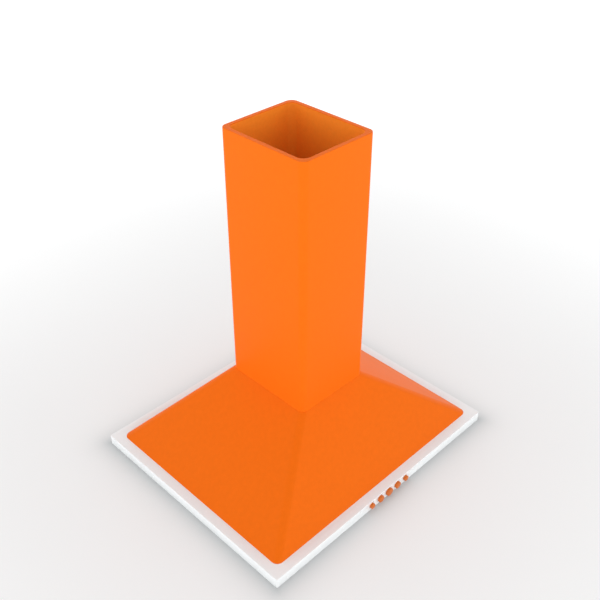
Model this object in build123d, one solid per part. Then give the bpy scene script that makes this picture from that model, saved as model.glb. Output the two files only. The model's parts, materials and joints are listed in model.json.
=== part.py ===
"""Island chimney cooker hood: white rim, pyramid canopy, double-skin chimney and the works inside.

The frame: origin at the centre of the rim's underside, +Z up, the push buttons on the -Y side, millimetres.
"""

from build123d import *
import os
from math import cos, pi, sin

# ---------------------------------------------------------------- overall sizes
HOOD_WIDTH = 600.0
HOOD_DEPTH = 500.0
HOOD_HEIGHT = 687.0
SHOULDER_HEIGHT = 170.0

# ---------------------------------------------------------------- rim and tray
RIM_HEIGHT = 21.5
RIM_CORNER = 3.0
WINDOW_CORNER = 9.0
RIM_WALL = 2.4
RIM_TOP = 1.8
RIM_CHAMFER = 0.4
RIM_MARGIN = 20.0
CHANNEL_WIDTH = 44.0
TRAY_RECESS = 0.8
TRAY_SHEET = 1.2
TRAY_GAP = 1.0
TRAY_CORNER = 5.6
CENTRE_STRIP = 14.0
SIDE_STRIP = 14.0
LAMP_STRIP = 76.0
REAR_STRIP = 60.0
TRAY_FLANGE = 14.0
TRAY_SCREW_INSET = 28.0
TRAY_SCREW_SPREAD = 110.0
RIM_SCREW_SPREAD_X = 180.0
RIM_SCREW_SPREAD_Y = 130.0

# ---------------------------------------------------------------- canopy and chimney
SHEET = 1.2
FOOT_RADIUS = 14.0
FOOT_FLANGE = 14.0
FLANGE_SCREW_GAP = 0.8
LEAN_FACTOR = 1.45
COLLAR_HEIGHT = 12.0
COLLAR_GAP = 0.5
CHIMNEY_WIDTH = 170.0
CHIMNEY_DEPTH = 198.0
CHIMNEY_RADIUS = 14.0
DOUBLE_WALL = 9.0
FLUE_RADIUS = 15.0
TOP_ROLL = 0.8

# ---------------------------------------------------------------- hanging frame
PLATE_THICKNESS = 2.0
PLATE_MARGIN = 2.5
PLATE_RADIUS = 10.0
CHUTE_CLEARANCE = 2.0
LEDGE_SCREW_SPREAD = 40.0
BRACKET_RADIUS = 6.0
OPENING_RADIUS = 8.0
UPRIGHT_LEG = 16.0
UPRIGHT_SHEET = 1.6
UPRIGHT_GAP = 6.5
BRACKET_HEIGHT = 522.0
BRACKET_OPENING = 126.0
STUD_HOLE_RADIUS = 3.5
STUD_SPACING_X = 90.0
STUD_SPACING_Y = 148.0

# ---------------------------------------------------------------- blower
FAN_HEIGHT = 98.0
IMPELLER_RADIUS = 58.0
IMPELLER_HALF = 43.0
BLADE_DEPTH = 11.0
BLADE_THICKNESS = 1.2
BLADE_LEAN = 32.0
BLADE_COUNT = 30
HUB_RADIUS = 10.0
HUB_HALF = 14.0
WHEEL_SHEET = 2.0
SCROLL_GAP = 16.0
SCROLL_SHIFT = 4.0
SEAM_ANGLES = (200, 250, 300, 350, 40)
SEAM_FLANGE = 4.0
BLOWER_WALL = 2.0
SIDE_GAP = 7.0
CHUTE_WIDTH = 64.0
CHUTE_TOP = 200.0
INLET_RADIUS = 44.0
INLET_LIP = 5.0
LUG_LENGTH = 14.0
LUG_THICKNESS = 4.0
LUG_REACH = 8.0
LUG_PLACES_Y = (-50.0, 10.0)
SPIGOT_RADIUS = 60.0
SPIGOT_WALL = 2.0
SPIGOT_LENGTH = 50.0
ADAPTER_RISE = 55.0
CHUTE_CORNER = 6.0
LEDGE_WIDTH = 3.0
LEDGE_THICKNESS = 2.0
BAR_HALF = 7.0
BAR_DROP = 8.0
EAR_LENGTH = 5.0
EAR_HALF = 2.4
FLAP_THICKNESS = 1.2
FLAP_GAP = 0.6
FLAP_PIN_RADIUS = 1.5
FLAP_BARREL = 3.0
FLAP_PIN_OFFSET = 4.0
PIN_INSET = 1.0
RUNNING_CLEARANCE = 0.05

# ---------------------------------------------------------------- motor
SHAFT_RADIUS = 4.0
MOTOR_RADIUS = 34.0
MOTOR_LENGTH = 54.0
MOTOR_WALL = 1.5
BUSH_RADIUS = 8.0
BUSH_LENGTH = 9.0
ROTOR_RADIUS = 20.0
ROTOR_GAP = 0.4
STATOR_LENGTH = 30.0
MOUNT_ARM = 10.0
MOUNT_RUBBER = 2.0
MOUNT_REACH = 8.0
MOUNT_ANGLES = (90, 210, 330)
END_CAP_LENGTH = 4.0
CAP_SLOTS = 8

# ---------------------------------------------------------------- grease filters
FILTER_HEIGHT = 9.0
FILTER_GAP = 1.0
FILTER_REAR_GAP = 2.4
FILTER_RAIL = 12.0
MESH_GROOVE = 6.0
MESH_THICKNESS = 3.0
PIVOT_RADIUS = 2.0
PIVOT_INSET = 5.0
MAGNET_RADIUS = 6.0
MAGNET_THICKNESS = 3.5
MAGNET_SPREAD = 60.0
MAGNET_INSET = 0.5
PIVOT_REACH = 1.5
MAGNET_TAB = 14.0
SCOOP_HALF = 26.0
SCOOP_DEPTH = 14.0
SCOOP_HEIGHT = 6.0
SCOOP_WALL = 12.0
SCOOP_SETBACK = 8.0

# ---------------------------------------------------------------- controls
BUTTON_DIAMETERS = (11.5, 14.5, 17.0, 14.5, 11.5)
BUTTON_PITCH = 25.0
BUTTON_HEIGHT = 11.0
BUTTON_PROUD = 6.0
BUTTON_TRAVEL = 3.0
BUTTON_GAP = 0.15
CAP_LENGTH = 12.8
CAP_EDGE = 0.8
CAP_EAR = 1.4
CAP_EAR_DEPTH = 1.5
CAP_EAR_HALF = 2.0
STEM_RADIUS = 2.5
SPRING_ROOM = 6.7
SPRING_WIRE = 0.35
SPRING_RADIUS = 3.6
SPRING_TURNS = 5
SPRING_SLACK = 0.05
GUIDE_THICKNESS = 2.5
CHEEK = 2.0
TAB_LENGTH = 14.0
TAB_DEPTH = 12.0
TAB_THICKNESS = 2.0
TAB_SCREW = 8.0
SWITCH_GAP = 3.0
SWITCH_DEPTH = 12.0
BANK_MARGIN = 4.0
BANK_FLOOR_GAP = 1.2
BANK_ROOF_GAP = 1.0
WELL_FLOOR = 1.5
WELL_RADIUS = 3.0
BOARD_THICKNESS = 1.6
RELAY_X = (-40.0, -22.0)
RELAY_DEPTH = 7.0
FUSE_X = (8.0, 28.0)
FUSE_RADIUS = 2.5
CONNECTOR_X = (40.0, 58.0)
CONNECTOR_DEPTH = 6.0

# ---------------------------------------------------------------- lamps, electrics, fasteners
LAMP_RADIUS = 29.0
LAMP_SPREAD = 150.0
LAMP_HEIGHT = 14.0
LAMP_WALL = 1.5
LAMP_FLANGE = 4.0
LENS_THICKNESS = 2.0
BOX_SIZE = (90.0, 40.0, 38.0)
BOX_WALL = 2.0
BOX_CENTRE_X = -145.0
BOX_MARGIN = 10.0
BOX_LIP = 1.5
GLAND_RADIUS = 9.0
GLAND_BORE = 4.2
GLAND_LENGTH = 22.0
GLAND_THREAD = 6.5
GLAND_DOME = 7.5
NUT_LENGTH = 8.0
CAPACITOR_RADIUS = 13.0
CAPACITOR_LENGTH = 46.0
CAPACITOR_GAP = 2.0
CAPACITOR_DROP = 8.0
CAPACITOR_FOOT = 12.0
LEAD_RADIUS = 2.5
LEAD_BEND = 12.0
LEAD_INSET = 9.6
SCREW_RADIUS = 2.0
SCREW_SLACK = 0.1
SCREW_HEAD_RADIUS = 3.6
SCREW_HEAD = 2.4
SCREW_BITE = 2.0
DRIVE_RADIUS = 1.2
SINK_RADIUS = 3.3
BLIND_END = 3.0
BOSS_RADIUS = 4.5
SEAM_EAR_RADIUS = 6.0
CLEARANCE = 0.3

# ---------------------------------------------------------------- places worked out from the sizes
HALF_X = HOOD_WIDTH / 2
HALF_Y = HOOD_DEPTH / 2
FOOT_X = HOOD_WIDTH - 2 * RIM_MARGIN
FOOT_Y = HOOD_DEPTH - 2 * RIM_MARGIN
OPENING_X = HALF_X - CHANNEL_WIDTH
OPENING_Y = HALF_Y - CHANNEL_WIDTH
SKIN_UNDERSIDE = RIM_HEIGHT - RIM_TOP
TRAY_TOP = TRAY_RECESS + TRAY_SHEET
FLUE_X = CHIMNEY_WIDTH - 2 * DOUBLE_WALL
FLUE_Y = CHIMNEY_DEPTH - 2 * DOUBLE_WALL
LEDGE_UNDERSIDE = SHOULDER_HEIGHT - SHEET
PLATE_TOP = LEDGE_UNDERSIDE
PLATE_UNDERSIDE = PLATE_TOP - PLATE_THICKNESS
POST_X = FLUE_X / 2 - UPRIGHT_GAP
POST_Y = FLUE_Y / 2 - UPRIGHT_GAP
BRACKET_UNDERSIDE = BRACKET_HEIGHT - PLATE_THICKNESS
SCROLL_RADIUS = IMPELLER_RADIUS + SCROLL_GAP
BLOWER_HALF = IMPELLER_HALF + SIDE_GAP + BLOWER_WALL
CHUTE_OUTER = -SCROLL_SHIFT - SCROLL_RADIUS
CHUTE_INNER = CHUTE_OUTER + CHUTE_WIDTH
ADAPTER_TOP = CHUTE_TOP + ADAPTER_RISE
SPIGOT_TOP = ADAPTER_TOP + SPIGOT_LENGTH
FLAP_HEIGHT = ADAPTER_TOP + SPIGOT_LENGTH / 2
FLAP_RADIUS = SPIGOT_RADIUS - SPIGOT_WALL - FLAP_GAP
MOTOR_START = BLOWER_HALF + 2 * MOUNT_RUBBER
MOTOR_END = MOTOR_START + MOTOR_LENGTH
BAY_X = OPENING_X - SIDE_STRIP - CENTRE_STRIP / 2
BAY_CENTRE_X = CENTRE_STRIP / 2 + BAY_X / 2
BAY_FRONT = LAMP_STRIP - OPENING_Y
BAY_REAR = OPENING_Y - REAR_STRIP
FILTER_X = BAY_X - 2 * FILTER_GAP
FILTER_FRONT = BAY_FRONT + FILTER_GAP
FILTER_REAR = BAY_REAR - FILTER_REAR_GAP
FILTER_TOP = TRAY_RECESS + FILTER_HEIGHT
PIVOT_Y = FILTER_REAR - PIVOT_INSET
PIVOT_Z = TRAY_RECESS + FILTER_HEIGHT / 2
LAMP_Y = LAMP_STRIP / 2 - OPENING_Y
CAP_BACK = CAP_LENGTH - BUTTON_PROUD - HALF_Y
GUIDE_FRONT = CAP_BACK + SPRING_ROOM
GUIDE_BACK = GUIDE_FRONT + GUIDE_THICKNESS
SWITCH_FRONT = GUIDE_BACK + SWITCH_GAP
SWITCH_BACK = SWITCH_FRONT + SWITCH_DEPTH
STEM_END = SWITCH_BACK - 2 * BUTTON_TRAVEL - 1.0
BANK_HALF = len(BUTTON_DIAMETERS) * BUTTON_PITCH / 2 + BANK_MARGIN
BANK_LOW = TRAY_TOP + BANK_FLOOR_GAP
BANK_HIGH = SKIN_UNDERSIDE - BANK_ROOF_GAP
BOX_Y = OPENING_Y - BOX_MARGIN - BOX_SIZE[1] / 2
LEAD_LANE = RIM_WALL + LEAD_INSET
CHANNEL_MIDDLE = CHANNEL_WIDTH / 2

MIDDLE_BUTTON = (len(BUTTON_DIAMETERS) - 1) / 2
BUTTON_XS = [BUTTON_PITCH * (i - MIDDLE_BUTTON) for i in range(len(BUTTON_DIAMETERS))]
SIDES = {"left": -1, "right": 1}
CORNERS = {"front_left": (-1, -1), "front_right": (1, -1), "rear_left": (-1, 1), "rear_right": (1, 1)}
TRAY_SCREW_PLACES = (
    [(sx * (HALF_X - TRAY_SCREW_INSET), sy * (HALF_Y - TRAY_SCREW_INSET)) for sx, sy in CORNERS.values()]
    + [(sx * (HALF_X - CHANNEL_MIDDLE), 0) for sx in (-1, 1)]
    + [(sx * TRAY_SCREW_SPREAD, sy * (HALF_Y - CHANNEL_MIDDLE)) for sx in (-1, 1) for sy in (-1, 1)]
)
CANOPY_LEAN = LEAN_FACTOR * SHEET
WIDEST_RUN = max(FOOT_X - CHIMNEY_WIDTH, FOOT_Y - CHIMNEY_DEPTH) / 2
RUN_PER_RISE = WIDEST_RUN / (SHOULDER_HEIGHT - RIM_HEIGHT)
FLANGE_SCREW_RISE = SHEET + SCREW_BITE + FLANGE_SCREW_GAP
FLANGE_LINE = RIM_MARGIN + CANOPY_LEAN + SCREW_RADIUS + FLANGE_SCREW_RISE * RUN_PER_RISE
RIM_SCREW_PLACES = (
    [(sx * (HALF_X - FLANGE_LINE), sy * RIM_SCREW_SPREAD_Y) for sx in (-1, 1) for sy in (-1, 1)]
    + [(sx * RIM_SCREW_SPREAD_X, sy * (HALF_Y - FLANGE_LINE)) for sx in (-1, 1) for sy in (-1, 1)]
)
GUIDE_SCREW_XS = (-BANK_HALF - TAB_SCREW, BANK_HALF + TAB_SCREW)
GUIDE_SCREW_Y = GUIDE_BACK + TAB_DEPTH / 2
FOOT_SCREWS = [
    (sx * (POST_X - UPRIGHT_LEG / 2), sy * (POST_Y - UPRIGHT_LEG / 2)) for sx, sy in CORNERS.values()
]
LEDGE_SCREWS = [
    (sx * (CHIMNEY_WIDTH - DOUBLE_WALL) / 2, sy * LEDGE_SCREW_SPREAD) for sx in (-1, 1) for sy in (-1, 1)
]
LUG_CENTRES = [(sx * (BLOWER_HALF + LUG_REACH), y) for sx in (-1, 1) for y in LUG_PLACES_Y]


# ---------------------------------------------------------------- small helpers
def block(x, y, z):
    """A box given by its (low, high) along each axis."""
    size = (x[1] - x[0], y[1] - y[0], z[1] - z[0])
    middle = ((x[0] + x[1]) / 2, (y[0] + y[1]) / 2, (z[0] + z[1]) / 2)
    return Pos(*middle) * Box(*size)


def slab(width, depth, radius, low, high):
    """A plate with rounded corners, centred on the vertical axis."""
    return Pos(0, 0, low) * extrude(RectangleRounded(width, depth, radius), high - low)


def post(radius, x, y, low, high):
    """An upright cylinder."""
    return Pos(x, y, (low + high) / 2) * Cylinder(radius, high - low)


def rod_x(radius, y, z, low, high):
    """A cylinder along X."""
    return Pos((low + high) / 2, y, z) * Rot(0, 90, 0) * Cylinder(radius, high - low)


def rod_y(radius, x, z, low, high):
    """A cylinder along Y."""
    return Pos(x, (low + high) / 2, z) * Rot(90, 0, 0) * Cylinder(radius, high - low)


def screw_hole(x, y, low, high):
    """An upright hole's solid that clears a screw."""
    return post(SCREW_RADIUS + SCREW_SLACK, x, y, low, high)


def pan_screw_up(x, y, head_top, length):
    """A pan-head screw that points up, with the underside of its head at head_top."""
    head = post(SCREW_HEAD_RADIUS, x, y, head_top - SCREW_HEAD, head_top)
    drive = post(DRIVE_RADIUS, x, y, head_top - SCREW_HEAD, head_top - SCREW_HEAD / 2)
    return head + post(SCREW_RADIUS, x, y, head_top, head_top + length) - drive


def pan_screw_down(x, y, seat, length):
    """A pan-head screw that points down, with its head standing on seat."""
    head = post(SCREW_HEAD_RADIUS, x, y, seat, seat + SCREW_HEAD)
    drive = post(DRIVE_RADIUS, x, y, seat + SCREW_HEAD / 2, seat + SCREW_HEAD)
    return head + post(SCREW_RADIUS, x, y, seat - length, seat) - drive


# ---------------------------------------------------------------- rim, tray and canopy
def rim_frame():
    """The white moulded rim: a channel open below, with screw bosses and the five button holes."""
    outer = slab(HOOD_WIDTH, HOOD_DEPTH, RIM_CORNER, 0, RIM_HEIGHT)
    outer = chamfer(outer.edges().filter_by(Plane.XY).group_by(Axis.Z)[-1], RIM_CHAMFER)
    window = slab(2 * OPENING_X, 2 * OPENING_Y, WINDOW_CORNER, 0, RIM_HEIGHT)
    inner_radius = RIM_CORNER - RIM_WALL
    hollow = slab(HOOD_WIDTH - 2 * RIM_WALL, HOOD_DEPTH - 2 * RIM_WALL, inner_radius, 0, SKIN_UNDERSIDE)
    core_x, core_y = 2 * (OPENING_X + RIM_WALL), 2 * (OPENING_Y + RIM_WALL)
    core = slab(core_x, core_y, WINDOW_CORNER + RIM_WALL, TRAY_TOP, SKIN_UNDERSIDE)
    body = outer - (hollow - core) - window
    for x, y in TRAY_SCREW_PLACES:
        body += post(BOSS_RADIUS, x, y, TRAY_TOP, SKIN_UNDERSIDE)
        body -= screw_hole(x, y, TRAY_TOP, SKIN_UNDERSIDE - BLIND_END)
    for x in GUIDE_SCREW_XS:
        tab_top = BUTTON_HEIGHT + TAB_THICKNESS
        body += post(BOSS_RADIUS, x, GUIDE_SCREW_Y, tab_top, SKIN_UNDERSIDE)
        body -= screw_hole(x, GUIDE_SCREW_Y, tab_top, SKIN_UNDERSIDE - BLIND_END / 3)
    for x, y in RIM_SCREW_PLACES:
        body -= screw_hole(x, y, SKIN_UNDERSIDE, RIM_HEIGHT)
    for x, diameter in zip(BUTTON_XS, BUTTON_DIAMETERS):
        body -= rod_y(diameter / 2 + BUTTON_GAP, x, BUTTON_HEIGHT, -HALF_Y, RIM_WALL - HALF_Y)
    lead_hole = rod_y(LEAD_RADIUS + 1, BOX_CENTRE_X, BUTTON_HEIGHT, OPENING_Y, OPENING_Y + RIM_WALL)
    return body - lead_hole


def bottom_tray():
    """The sheet that closes the underside: two filter bays with upturned flanges, lamp and screw holes."""
    inset = 2 * (RIM_WALL + TRAY_GAP)
    tray = slab(HOOD_WIDTH - inset, HOOD_DEPTH - inset, TRAY_CORNER, TRAY_RECESS, TRAY_TOP)
    flange_top = TRAY_RECESS + TRAY_FLANGE
    for side in SIDES.values():
        centre = side * BAY_CENTRE_X
        inside = (centre - BAY_X / 2, centre + BAY_X / 2)
        outside = (inside[0] - TRAY_SHEET, inside[1] + TRAY_SHEET)
        tray += block(outside, (BAY_FRONT - TRAY_SHEET, BAY_REAR + TRAY_SHEET), (TRAY_RECESS, flange_top))
        tray -= block(inside, (BAY_FRONT, BAY_REAR), (TRAY_RECESS, flange_top))
        tray -= rod_x(PIVOT_RADIUS + RUNNING_CLEARANCE, PIVOT_Y, PIVOT_Z, *outside)
        for place in (-MAGNET_SPREAD, MAGNET_SPREAD):
            tab = (centre + place - MAGNET_TAB / 2, centre + place + MAGNET_TAB / 2)
            tray += block(tab, (BAY_FRONT, BAY_FRONT + MAGNET_TAB), (flange_top - TRAY_SHEET, flange_top))
        tray -= post(LAMP_RADIUS + CLEARANCE, side * LAMP_SPREAD, LAMP_Y, TRAY_RECESS, TRAY_TOP)
    for x, y in TRAY_SCREW_PLACES:
        sink = Cone(SINK_RADIUS + SCREW_SLACK, SCREW_RADIUS + SCREW_SLACK, TRAY_SHEET)
        tray -= Pos(x, y, TRAY_RECESS + TRAY_SHEET / 2) * sink
    return tray


def tray_screws():
    """Countersunk screws that hold the tray to the rim's bosses, heads flush with the tray."""
    group = []
    for x, y in TRAY_SCREW_PLACES:
        head = Pos(x, y, TRAY_RECESS + TRAY_SHEET / 2) * Cone(SINK_RADIUS, SCREW_RADIUS, TRAY_SHEET)
        shank = post(SCREW_RADIUS, x, y, TRAY_TOP, SKIN_UNDERSIDE - BLIND_END - SCREW_BITE)
        drive = post(DRIVE_RADIUS, x, y, TRAY_RECESS, TRAY_RECESS + 0.75 * TRAY_SHEET)
        group.append(head + shank - drive)
    return Compound(group)


def pyramid(shrink, low, high):
    """The hipped solid between the canopy's foot and its shoulder, each side moved in by shrink."""
    foot = RectangleRounded(FOOT_X - 2 * shrink, FOOT_Y - 2 * shrink, FOOT_RADIUS - shrink)
    top_x, top_y = CHIMNEY_WIDTH - 2 * shrink, CHIMNEY_DEPTH - 2 * shrink
    top = RectangleRounded(top_x, top_y, CHIMNEY_RADIUS - shrink)
    return loft([Pos(0, 0, low) * foot, Pos(0, 0, high) * top])


def canopy():
    """The pressed pyramid with its shoulder and upturned collar, and the flange welded inside its foot."""
    lean = CANOPY_LEAN
    inner = pyramid(lean, RIM_HEIGHT, LEDGE_UNDERSIDE)
    body = pyramid(0, RIM_HEIGHT, SHOULDER_HEIGHT) - inner
    collar_x, collar_y = FLUE_X - 2 * COLLAR_GAP, FLUE_Y - 2 * COLLAR_GAP
    collar_top = SHOULDER_HEIGHT + COLLAR_HEIGHT
    body += slab(collar_x, collar_y, FLUE_RADIUS - COLLAR_GAP, LEDGE_UNDERSIDE, collar_top)
    throat_radius = FLUE_RADIUS - COLLAR_GAP - SHEET
    body -= slab(collar_x - 2 * SHEET, collar_y - 2 * SHEET, throat_radius, LEDGE_UNDERSIDE, collar_top)
    for x, y in LEDGE_SCREWS:
        body -= screw_hole(x, y, LEDGE_UNDERSIDE, SHOULDER_HEIGHT)
    foot = slab(FOOT_X - 2 * lean, FOOT_Y - 2 * lean, FOOT_RADIUS - lean, RIM_HEIGHT, RIM_HEIGHT + SHEET)
    window_x, window_y = FOOT_X - 2 * FOOT_FLANGE - 2 * lean, FOOT_Y - 2 * FOOT_FLANGE - 2 * lean
    flange = (foot & inner) - slab(window_x, window_y, OPENING_RADIUS, 0, SHOULDER_HEIGHT)
    for x, y in RIM_SCREW_PLACES:
        flange -= screw_hole(x, y, RIM_HEIGHT, RIM_HEIGHT + SHEET)
    return Compound([body, flange])


def rim_screws():
    """Screws up through the rim's skin into the canopy's foot flange."""
    length = RIM_TOP + SHEET + SCREW_BITE
    return Compound([pan_screw_up(x, y, SKIN_UNDERSIDE, length) for x, y in RIM_SCREW_PLACES])


# ---------------------------------------------------------------- chimney
def chimney_cover():
    """The outer skin of the chimney, with its top edge returned inwards over the liner."""
    outer = slab(CHIMNEY_WIDTH, CHIMNEY_DEPTH, CHIMNEY_RADIUS, SHOULDER_HEIGHT, HOOD_HEIGHT)
    outer = fillet(outer.edges().filter_by(Plane.XY).group_by(Axis.Z)[-1], TOP_ROLL)
    inside_x, inside_y = CHIMNEY_WIDTH - 2 * SHEET, CHIMNEY_DEPTH - 2 * SHEET
    inside = slab(inside_x, inside_y, CHIMNEY_RADIUS - SHEET, SHOULDER_HEIGHT, HOOD_HEIGHT - SHEET)
    return outer - inside - slab(FLUE_X, FLUE_Y, FLUE_RADIUS, SHOULDER_HEIGHT, HOOD_HEIGHT)


def chimney_liner():
    """The inner skin of the chimney, from the canopy's shoulder up to the returned edge."""
    outer_x, outer_y = FLUE_X + 2 * SHEET, FLUE_Y + 2 * SHEET
    top = HOOD_HEIGHT - SHEET
    outer = slab(outer_x, outer_y, FLUE_RADIUS + SHEET, SHOULDER_HEIGHT, top)
    return outer - slab(FLUE_X, FLUE_Y, FLUE_RADIUS, SHOULDER_HEIGHT, top)


# ---------------------------------------------------------------- hanging frame
def blower_plate():
    """The plate under the canopy's shoulder that carries the blower and the four uprights."""
    plate_x, plate_y = CHIMNEY_WIDTH - 2 * PLATE_MARGIN, CHIMNEY_DEPTH - 2 * PLATE_MARGIN
    plate = slab(plate_x, plate_y, PLATE_RADIUS, PLATE_UNDERSIDE, PLATE_TOP)
    gap_x = BLOWER_HALF + CHUTE_CLEARANCE
    rise = max(0, PLATE_UNDERSIDE - FAN_HEIGHT)
    drum_half = max(0, (SCROLL_RADIUS + CHUTE_CLEARANCE) ** 2 - rise**2) ** 0.5
    gap_y = (CHUTE_OUTER - CHUTE_CLEARANCE, max(CHUTE_INNER + CHUTE_CLEARANCE, drum_half - SCROLL_SHIFT))
    plate -= block((-gap_x, gap_x), gap_y, (PLATE_UNDERSIDE, PLATE_TOP))
    for x, y in FOOT_SCREWS + LEDGE_SCREWS + LUG_CENTRES:
        plate -= screw_hole(x, y, PLATE_UNDERSIDE, PLATE_TOP)
    return plate


def upright(sx, sy):
    """One angle post of the hanging frame, with a foot at each end."""
    low, high = PLATE_TOP, BRACKET_UNDERSIDE
    x_span = sorted((sx * POST_X, sx * (POST_X - UPRIGHT_LEG)))
    y_span = sorted((sy * POST_Y, sy * (POST_Y - UPRIGHT_LEG)))
    x_leg = sorted((sx * POST_X, sx * (POST_X - UPRIGHT_SHEET)))
    y_leg = sorted((sy * POST_Y, sy * (POST_Y - UPRIGHT_SHEET)))
    body = block(x_leg, y_span, (low, high)) + block(x_span, y_leg, (low, high))
    body += block(x_span, y_span, (low, low + UPRIGHT_SHEET))
    body += block(x_span, y_span, (high - UPRIGHT_SHEET, high))
    x, y = sx * (POST_X - UPRIGHT_LEG / 2), sy * (POST_Y - UPRIGHT_LEG / 2)
    return body - screw_hole(x, y, low, high)


def top_bracket():
    """The plate on the four uprights that the ceiling's studs bolt to, open for the hose."""
    plate = slab(2 * POST_X, 2 * POST_Y, BRACKET_RADIUS, BRACKET_UNDERSIDE, BRACKET_HEIGHT)
    plate -= slab(BRACKET_OPENING, BRACKET_OPENING, OPENING_RADIUS, BRACKET_UNDERSIDE, BRACKET_HEIGHT)
    for sx, sy in CORNERS.values():
        x, y = sx * STUD_SPACING_X / 2, sy * STUD_SPACING_Y / 2
        plate -= post(STUD_HOLE_RADIUS, x, y, BRACKET_UNDERSIDE, BRACKET_HEIGHT)
    for x, y in FOOT_SCREWS:
        plate -= screw_hole(x, y, BRACKET_UNDERSIDE, BRACKET_HEIGHT)
    return plate


def frame_screws():
    """Screws of the hanging frame: upright feet, top bracket and the canopy's shoulder."""
    length = PLATE_THICKNESS + UPRIGHT_SHEET + SCREW_BITE
    lower = [pan_screw_up(x, y, PLATE_UNDERSIDE, length) for x, y in FOOT_SCREWS]
    upper = [pan_screw_down(x, y, BRACKET_HEIGHT, length) for x, y in FOOT_SCREWS]
    short = PLATE_THICKNESS + SHEET + SCREW_BITE
    ledge = [pan_screw_up(x, y, PLATE_UNDERSIDE, short) for x, y in LEDGE_SCREWS]
    return Compound(lower + upper + ledge)


# ---------------------------------------------------------------- blower
def scroll(shrink, low, high):
    """The blower's side outline, as a solid between two places along X."""
    drum = rod_x(SCROLL_RADIUS - shrink, -SCROLL_SHIFT, FAN_HEIGHT, low, high)
    chute_y = (CHUTE_OUTER + shrink, CHUTE_INNER - shrink)
    return drum + block((low, high), chute_y, (FAN_HEIGHT, CHUTE_TOP))


def seam_centres():
    """Where the screws along the blower's seam stand, as (y, z)."""
    reach = SCROLL_RADIUS + SCREW_HEAD_RADIUS + 1
    turns = [angle * pi / 180 for angle in SEAM_ANGLES]
    return [(reach * cos(turn) - SCROLL_SHIFT, FAN_HEIGHT + reach * sin(turn)) for turn in turns]


def blower_half(side):
    """Half of the blower's housing, on one side of the seam at X = 0."""
    outer_x = sorted((0, side * BLOWER_HALF))
    inner_x = sorted((0, side * (BLOWER_HALF - BLOWER_WALL)))
    body = scroll(0, *outer_x)
    lip_x = sorted((side * (BLOWER_HALF - BLOWER_WALL), side * (BLOWER_HALF - INLET_LIP)))
    for y, z in seam_centres():
        body += rod_x(SEAM_EAR_RADIUS, y, z, *sorted((0, side * SEAM_FLANGE)))
    for x, y in LUG_CENTRES:
        if x * side > 0:
            lug_x = sorted((side * BLOWER_HALF, x + side * 0.75 * LUG_REACH))
            lug_y = (y - LUG_LENGTH / 2, y + LUG_LENGTH / 2)
            body += block(lug_x, lug_y, (PLATE_UNDERSIDE - LUG_THICKNESS, PLATE_UNDERSIDE))
    body -= scroll(BLOWER_WALL, *inner_x)
    body += rod_x(INLET_RADIUS + 2, 0, FAN_HEIGHT, *lip_x)
    body -= rod_x(INLET_RADIUS, 0, FAN_HEIGHT, *outer_x)
    for y, z in seam_centres():
        body -= rod_x(SCREW_RADIUS + SCREW_SLACK, y, z, *sorted((0, side * SEAM_FLANGE)))
    for x, y in LUG_CENTRES:
        body -= screw_hole(x, y, PLATE_UNDERSIDE - LUG_THICKNESS, PLATE_UNDERSIDE)
    if side > 0:
        for y, z in motor_mount_centres():
            body -= rod_x(SCREW_RADIUS + SCREW_SLACK, y, z, *outer_x)
    return body


def blower_screws():
    """Screws along the blower's seam, and those that hang it from the plate."""
    seam = []
    for y, z in seam_centres():
        head_end = SEAM_FLANGE + SCREW_HEAD
        head = rod_x(SCREW_HEAD_RADIUS, y, z, SEAM_FLANGE, head_end)
        shank = rod_x(SCREW_RADIUS, y, z, -SEAM_FLANGE - SCREW_BITE / 2, SEAM_FLANGE)
        seam.append(head + shank - rod_x(DRIVE_RADIUS, y, z, head_end - SCREW_HEAD / 2, head_end))
    seat, length = PLATE_UNDERSIDE - LUG_THICKNESS, LUG_THICKNESS + PLATE_THICKNESS
    hanging = [pan_screw_up(x, y, seat, length) for x, y in LUG_CENTRES]
    return Compound(seam + hanging)


def adapter_loft(shrink):
    """The solid that runs from the blower's square chute to the round spigot."""
    low_x, low_y = 2 * (BLOWER_HALF - shrink), CHUTE_WIDTH - 2 * shrink
    chute = Pos(0, (CHUTE_OUTER + CHUTE_INNER) / 2, CHUTE_TOP) * RectangleRounded(low_x, low_y, CHUTE_CORNER)
    ring = Pos(0, 0, ADAPTER_TOP) * Circle(SPIGOT_RADIUS - shrink)
    return loft([chute, ring])


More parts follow.
